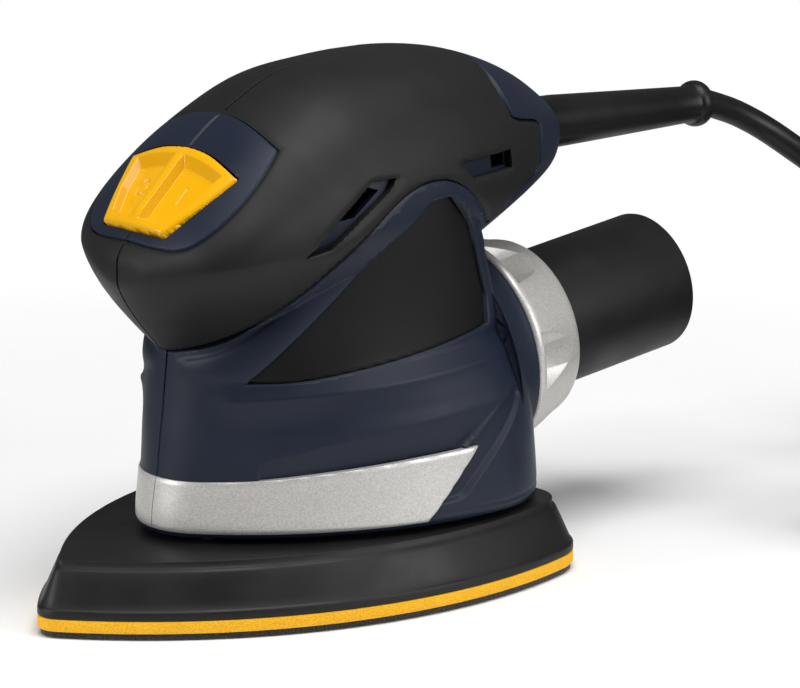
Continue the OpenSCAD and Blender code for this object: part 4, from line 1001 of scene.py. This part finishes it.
def grip_shell(under_grip):
    """Both soft grips in one, short of the housing by the gap between parts."""
    grip = combined(lipped_grip(), prism("grip_zone", offset_outline(GRIP_ZONE, -PART_GAP)), "INTERSECT")
    return cut(grip, under_grip, face_prism("bezel", BEZEL, PART_GAP, -30, 30))


def seam_cut():
    """A thin sheet along the middle, which leaves a fine groove in what it cuts."""
    seam = block("seam", (-FAR, -SEAM_LIP, -FAR), (FAR, SEAM_LIP, FAR))
    return cut(seam, grid_solid("kept", body_grid(SEAM_DEPTH, first=BASE_Z - BELOW)),
               grid_solid("kept", head_grid(SEAM_DEPTH)))


def make_housing():
    room = combined(grid_solid("room", body_grid(SKIN, first=BASE_Z - BELOW)),
                    grid_solid("room_head", head_grid(GRIP_T + ROOM_UNDER_GRIP)), "UNION")
    under_grip = grid_solid("under_grip", head_grid(GRIP_T))
    skin = housing_shell(room, under_grip)
    grip = grip_shell(under_grip)
    seam = seam_cut()
    combined(grip, seam, "DIFFERENCE", drop=False)
    cut(skin, seam)
    for word, reach in (("left", (20, FAR)), ("right", (-FAR, -20))):
        wells = SCREWS if word == "right" else []
        for piece, node, finish, vents in ((skin, "housing_" + word, "navy_plastic", VENTS_BEHIND),
                                           (grip, "grip_" + word, "soft_grip", VENTS)):
            half = one_side(piece, node)
            cut(half, *[prism("vent", offset_outline(vent, PART_GAP), *reach) for vent in vents])
            cut(half, *[screw_well(x, z) for x, z in wells])
            if piece is skin:
                combined(half, packed_inside(node, room, node + "_inside"), "UNION")
            finished(half, finish, replaces=[node])
    for piece in (room, skin, grip):
        bpy.data.objects.remove(piece)


def plate_skin(name, outline, outer, inner, width, depth):
    """A plate on the body's surface, between two depths, with its outer edge rounded."""
    grid = body_grid(outer)
    push = lip(distance_to(grid.reshape(-1, 3)[:, [0, 2]], outline), width, depth)
    piece = combined(grid_solid(name, sunk(grid, push)), prism("outline", outline), "INTERSECT")
    return cut(piece, grid_solid("inner", body_grid(inner)))


def make_plates():
    for name, outline, outer, inner, width, depth, finish in (
            ("trim", BAND_EDGE, -0.5, 1.4, 0.9, 0.5, "silver_paint"),
            ("side_panel", PANEL_EDGE, 0.7, 1.85, 0.6, 0.35, "panel_black")):
        whole = plate_skin(name, outline, outer, inner, width, depth)
        for node in (name + "_left", name + "_right"):
            finished(one_side(whole, node), finish, replaces=[node])
        bpy.data.objects.remove(whole)


# ---------------------------------------------------------------- rocker

ROCKER_PANEL = [(-10.2, 1.6), (-9.8, 8), (-7.9, 16.4), (1.4, 14.0), (8.6, 10.4), (9.6, 9.0), (9.8, 1.6)]
ROCKER_SWING, PIVOT_DEPTH, ROCKER_PROUD = 7.0, 6.0, 0.9
CROWN_R, CROWN_R_LOW, CAP_T = 48.0, 110.0, 3.2
CAP_BOX, CAP_STEP, CAP_FLOOR = (14, 22), 0.15, -7.4
HOLLOW_START, HOLLOW_LEN, HOLLOW_HALF_W = -9.6, 19.2, 14
UNDERSIDE = -5.5
PANEL_DEPTH, PANEL_WALL, PANEL_SLOPE, PANEL_CURVE = 2.0, 1.1, 2.8, 0.009
RIDGE_LIFT, RIDGE_HALF_W = 0.5, 1.9
CAP_EDGE_W, CAP_EDGE_DROP = 1.2, 0.8
MARK_Y, MARK_DEPTH, MARK_HALF_LEN, MARK_HALF_W = 8.0, 0.35, 2.5, 0.4
RING_IN, RING_OUT, RING_STRETCH = 1.2, 1.9, 1.45


def rocker_height(x, y):
    """Top of the rocker's cap: a crown, two sunk panels with a wide upper slope, and the two marks."""
    bend = np.where(y > 0, CROWN_R, CROWN_R_LOW)
    crown = ROCKER_PROUD - bend + np.sqrt(bend ** 2 - y ** 2)
    p = np.stack([x, np.abs(y)], 1)
    wall = np.where(inside(p, ROCKER_PANEL), distance_to(p, ROCKER_PANEL), 0.0) / PANEL_WALL
    slope = (x + 10.0 - PANEL_CURVE * y ** 2) / PANEL_SLOPE
    panel = PANEL_DEPTH * np.clip(np.minimum(wall, slope), 0, 1)
    ring = np.hypot(x / RING_STRETCH, y + MARK_Y)
    marks = np.maximum((np.abs(x) < MARK_HALF_LEN) & (np.abs(y - MARK_Y) < MARK_HALF_W),
                       (ring < RING_OUT) & (ring > RING_IN))
    ridge = RIDGE_LIFT * np.clip(1 - (y / RIDGE_HALF_W) ** 2, 0, 1)
    ridge *= ramp(x, -12, -8) * (1 - ramp(x, 7, 11))
    edge = lip(distance_to(np.stack([x, y], 1), ROCKER), CAP_EDGE_W, CAP_EDGE_DROP)
    return crown - panel - edge + ridge - MARK_DEPTH * marks


def rocker_hollow():
    """The space under the cap, which keeps it as thick as a moulding."""
    axis = turned_place((HOLLOW_START, 0, ROCKER_PROUD - CROWN_R), 90)
    hollow = disc_solid("hollow", CROWN_R - CAP_T, 0, HOLLOW_LEN, axis, count=240)
    between = block("between", (-12, -HOLLOW_HALF_W, -20), (12, HOLLOW_HALF_W, 20))
    combined(hollow, between, "INTERSECT")
    hollow.data.transform(FACE)
    return hollow


def make_rocker():
    xs, ys = (np.arange(-half, half + 0.01, CAP_STEP) for half in CAP_BOX)
    gx, gy = np.meshgrid(xs, ys, indexing="ij")
    top = rocker_height(gx.ravel(), gy.ravel()).reshape(gx.shape)
    cap = height_block("rocker_skin", gx, gy, top, CAP_FLOOR)
    cap.data.transform(FACE)
    combined(cap, face_prism("outline", ROCKER, 0.0, -12, 12), "INTERSECT")
    cut(cap, rocker_hollow())
    pivot = Matrix.Translation((0, 0, -PIVOT_DEPTH * MM))
    swing = Matrix.Rotation(radians(ROCKER_SWING / 2), 4, "X")
    tilt = FACE @ pivot @ swing @ pivot.inverted() @ FACE.inverted()
    cap.data.transform(tilt)
    below = block("below", (-30, -30, -30), (30, 30, UNDERSIDE))
    below.data.transform(tilt @ FACE)
    combined(cap, combined(packed_copy("switch_rocker", "under"), below, "INTERSECT"), "UNION")
    finished(cap, "rocker_yellow", body="rocker", replaces=["switch_rocker"], crease=50)


def height_block(name, gx, gy, top, floor):
    """A closed block with that height over an even grid."""
    n, m = gx.shape
    upper = np.stack([gx, gy, top], -1).reshape(-1, 3)
    lower = np.stack([gx, gy, np.full_like(top, floor)], -1).reshape(-1, 3)
    i, j = np.meshgrid(np.arange(n - 1), np.arange(m - 1), indexing="ij")
    a = (i * m + j).ravel()
    quads = np.stack([a, a + m, a + m + 1, a + 1], 1)
    faces = quads.tolist() + (quads[:, ::-1] + n * m).tolist()
    rim = [i * m for i in range(n)] + [(n - 1) * m + j for j in range(1, m)]
    rim += [i * m + m - 1 for i in range(n - 2, -1, -1)] + list(range(m - 2, 0, -1))
    faces += [(b, a, a + n * m, b + n * m) for a, b in zip(rim, rim[1:] + rim[:1])]
    return link(name, mesh_from(name, np.vstack([upper, lower]) * MM, faces))


# ---------------------------------------------------------------- lock ring, tube and cord guard

POCKETS, POCKET_R, POCKET_OUT, POCKET_TILT, POCKET_START = 6, 10, 33.5, 2.2, 2
TUBE_FLANGE, TUBE_NECK = 2, 0.8
GUARD_SEAT, GUARD_FLANGE, TAPER_START = -12.6, -10.4, 6


def make_lock_ring():
    """The ring over the port, with a scooped pocket for each finger."""
    ring = [(SPIGOT_R + 0.3, -RING_LEN), (BOSS_R - 1.9, -RING_LEN), (BOSS_R - 1.2, -RING_LEN + 0.25),
            (BOSS_R - 0.75, -RING_LEN + 0.8), (BOSS_R - 0.6, -RING_LEN + 1.5), (BOSS_R - 0.75, -RING_LEN + 3),
            (TUBE_R + 5.75, -3.9), (TUBE_R + 5.5, -2.6), (TUBE_R + 5.1, -1.4), (TUBE_R + 4.6, -0.6),
            (TUBE_R + 4, -0.15), (TUBE_R + 3.4, 0), (TUBE_R + 0.6, 0), (TUBE_R + 0.3, -0.3),
            (TUBE_R + 0.3, -4.4), (SPIGOT_R + 0.3, -4.4)]
    piece = turned_solid("lock_ring_skin", ring, PORT, count=216)
    for i in range(POCKETS):
        place = (PORT @ Matrix.Rotation(2 * pi * (i + 0.5) / POCKETS, 4, "Z")
                 @ Matrix.Translation(Vector((POCKET_OUT, 0, POCKET_START - RING_LEN)) * MM)
                 @ Matrix.Rotation(radians(POCKET_TILT), 4, "Y"))
        cut(piece, disc_solid("pocket", POCKET_R, 0, 30, place, count=96))
    finished(piece, "silver_paint", body="lock_ring", replaces=["lock_ring"])


def make_dust_tube():
    bore, neck, flange = TUBE_R - TUBE_WALL, TUBE_R - TUBE_NECK, TUBE_R + TUBE_FLANGE
    tube = [(bore, -6.7), (flange, -6.7), (flange, -4.7), (neck, -4.7), (neck, 0.5), (TUBE_R, 0.5),
            (TUBE_R, TUBE_LEN - 1), (TUBE_R - 0.15, TUBE_LEN - 0.5), (TUBE_R - 0.5, TUBE_LEN - 0.12),
            (TUBE_R - 0.95, TUBE_LEN), (bore + 0.5, TUBE_LEN - 0.12), (bore + 0.15, TUBE_LEN - 0.5),
            (bore, TUBE_LEN - 1)]
    piece = turned_solid("dust_tube_skin", tube, PORT, count=216)
    finished(piece, "black_plastic", body="dust_tube", replaces=["dust_tube"])


def make_cord_guard():
    """A tapered sleeve round the cord, with a bead at its end."""
    bore, flange, end = CORD_R + FIT_GAP, GUARD_R0 + 2, GUARD_LEN + BEAD_W
    taper = [(GUARD_R0 + (GUARD_R1 - GUARD_R0) * t, TAPER_START + (GUARD_LEN - TAPER_START) * t)
             for t in (0, 0.2, 0.4, 0.6, 0.8, 0.97)]
    bead = [(GUARD_R1 + 1.3 * sin(a), GUARD_LEN + BEAD_W / 2 * (1 - cos(a)))
            for a in np.linspace(0.35, pi - 0.35, 9)]
    guard = [(bore, GUARD_SEAT), (flange, GUARD_SEAT), (flange, GUARD_FLANGE), (GUARD_R0, GUARD_FLANGE),
             *taper, *bead, (GUARD_R1 + 0.2, end - 0.1), (bore + 0.3, end), (bore, end - 0.3)]
    piece = turned_solid("cord_guard_skin", guard, GUARD, count=96)
    finished(piece, "rubber_black", replaces=["cord_guard"])


# ---------------------------------------------------------------- pad

PAD_FRONT, TIP_R, PAD_REAR, CORNER_Y, CORNER_R, SIDE_R = 82.4, 6.0, 57.4, 28.8, 16.0, 118.0
HOOK_T, FOAM_T = 1.6, 3.1
Z_PLATEN = HOOK_T + FOAM_T
Z_RIM, Z_SHOULDER = Z_PLATEN + 2.2, Z_PLATEN + 11.4
Z_DECK = Z_SHOULDER + 1.8
PIN_X = 1.0
DUST_HOLES, DUST_HOLE_R, DUST_RING_R = 8, 4, 22.0
SEAT_BORE, SEAT_DEPTH, PIN_BORE = 11.02, 8.4, 8.62


def pad_solid(name, levels):
    """The pad's outline stacked at each (height, inset)."""
    rings = []
    for z, d in levels:
        ring = delta_outline(PAD_FRONT - d, TIP_R - d, PAD_REAR - d, CORNER_Y, CORNER_R - d, SIDE_R - d, 520)
        rings.append(np.column_stack([ring, np.full(len(ring), z)]))
    return grid_solid(name, np.array(rings))


def with_dust_holes(piece):
    for i in range(DUST_HOLES):
        a = 2 * pi * (i + 0.5) / DUST_HOLES
        place = Matrix.Translation(Vector((PIN_X + DUST_RING_R * cos(a), DUST_RING_R * sin(a), 0)) * MM)
        cut(piece, disc_solid("hole", DUST_HOLE_R, -2, 40, place, count=48))
    return piece


def rounded_levels(z0, z1, r):
    """Levels from z0 to z1 whose two edges are rounded by r."""
    turns = np.linspace(0, pi / 2, 5)
    low = [(z0 + r * (1 - cos(a)), r * (1 - sin(a))) for a in turns]
    high = [(z1 - r * (1 - cos(a)), r * (1 - sin(a))) for a in turns[::-1]]
    return low + high


def make_platen():
    """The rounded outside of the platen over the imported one's own inside."""
    outer = [(Z_PLATEN, 0.3), (Z_PLATEN + 0.3, 0.0), (Z_RIM - 0.5, 0.0), (Z_RIM - 0.15, 0.12),
             (Z_RIM + 0.15, 0.45)]
    slope = [(Z_RIM + 0.2 + (Z_SHOULDER - Z_RIM - 0.8) * t, 0.6 + 3.7 * t)
             for t in (0.02, 0.25, 0.5, 0.75, 0.97)]
    top = [(Z_SHOULDER - 0.25, 4.6), (Z_SHOULDER, 4.95), (Z_SHOULDER + 0.1, 5.35), (Z_DECK - 0.1, 5.35),
           (Z_DECK, 5.4)]
    core = pad_solid("core", [(Z_PLATEN + 1.2, 1.5), (Z_RIM + 0.2, 1.6), (Z_SHOULDER - 1.0, 5.2)])
    platen = combined(pad_solid("platen_skin", outer + slope + top), core, "DIFFERENCE", drop=False)
    middle = Matrix.Translation((PIN_X * MM, 0, 0))
    cut(platen, disc_solid("bore", SEAT_BORE, Z_DECK - SEAT_DEPTH, 60, middle, count=96),
        disc_solid("bore", PIN_BORE, 0, 60, middle, count=96))
    combined(platen, packed_inside("platen", core, "platen_inside"), "UNION")
    bpy.data.objects.remove(core)
    finished(with_dust_holes(platen), "black_plastic", body="platen", replaces=["platen"])


def make_pad():
    hook = with_dust_holes(pad_solid("hook_face_skin", [(0, 0.9), (0.15, 0.72), (0.4, 0.7), (HOOK_T, 0.7)]))
    finished(hook, "hook_fabric", body="platen", replaces=["hook_face"])
    foam = with_dust_holes(pad_solid("foam_skin", rounded_levels(HOOK_T, Z_PLATEN, 0.35)))
    finished(foam, "foam_yellow", body="platen", replaces=["foam_pad"])


make_housing()
make_plates()
make_rocker()
make_lock_ring()
make_dust_tube()
make_cord_guard()
make_pad()
make_platen()
set_light()
make_floor()
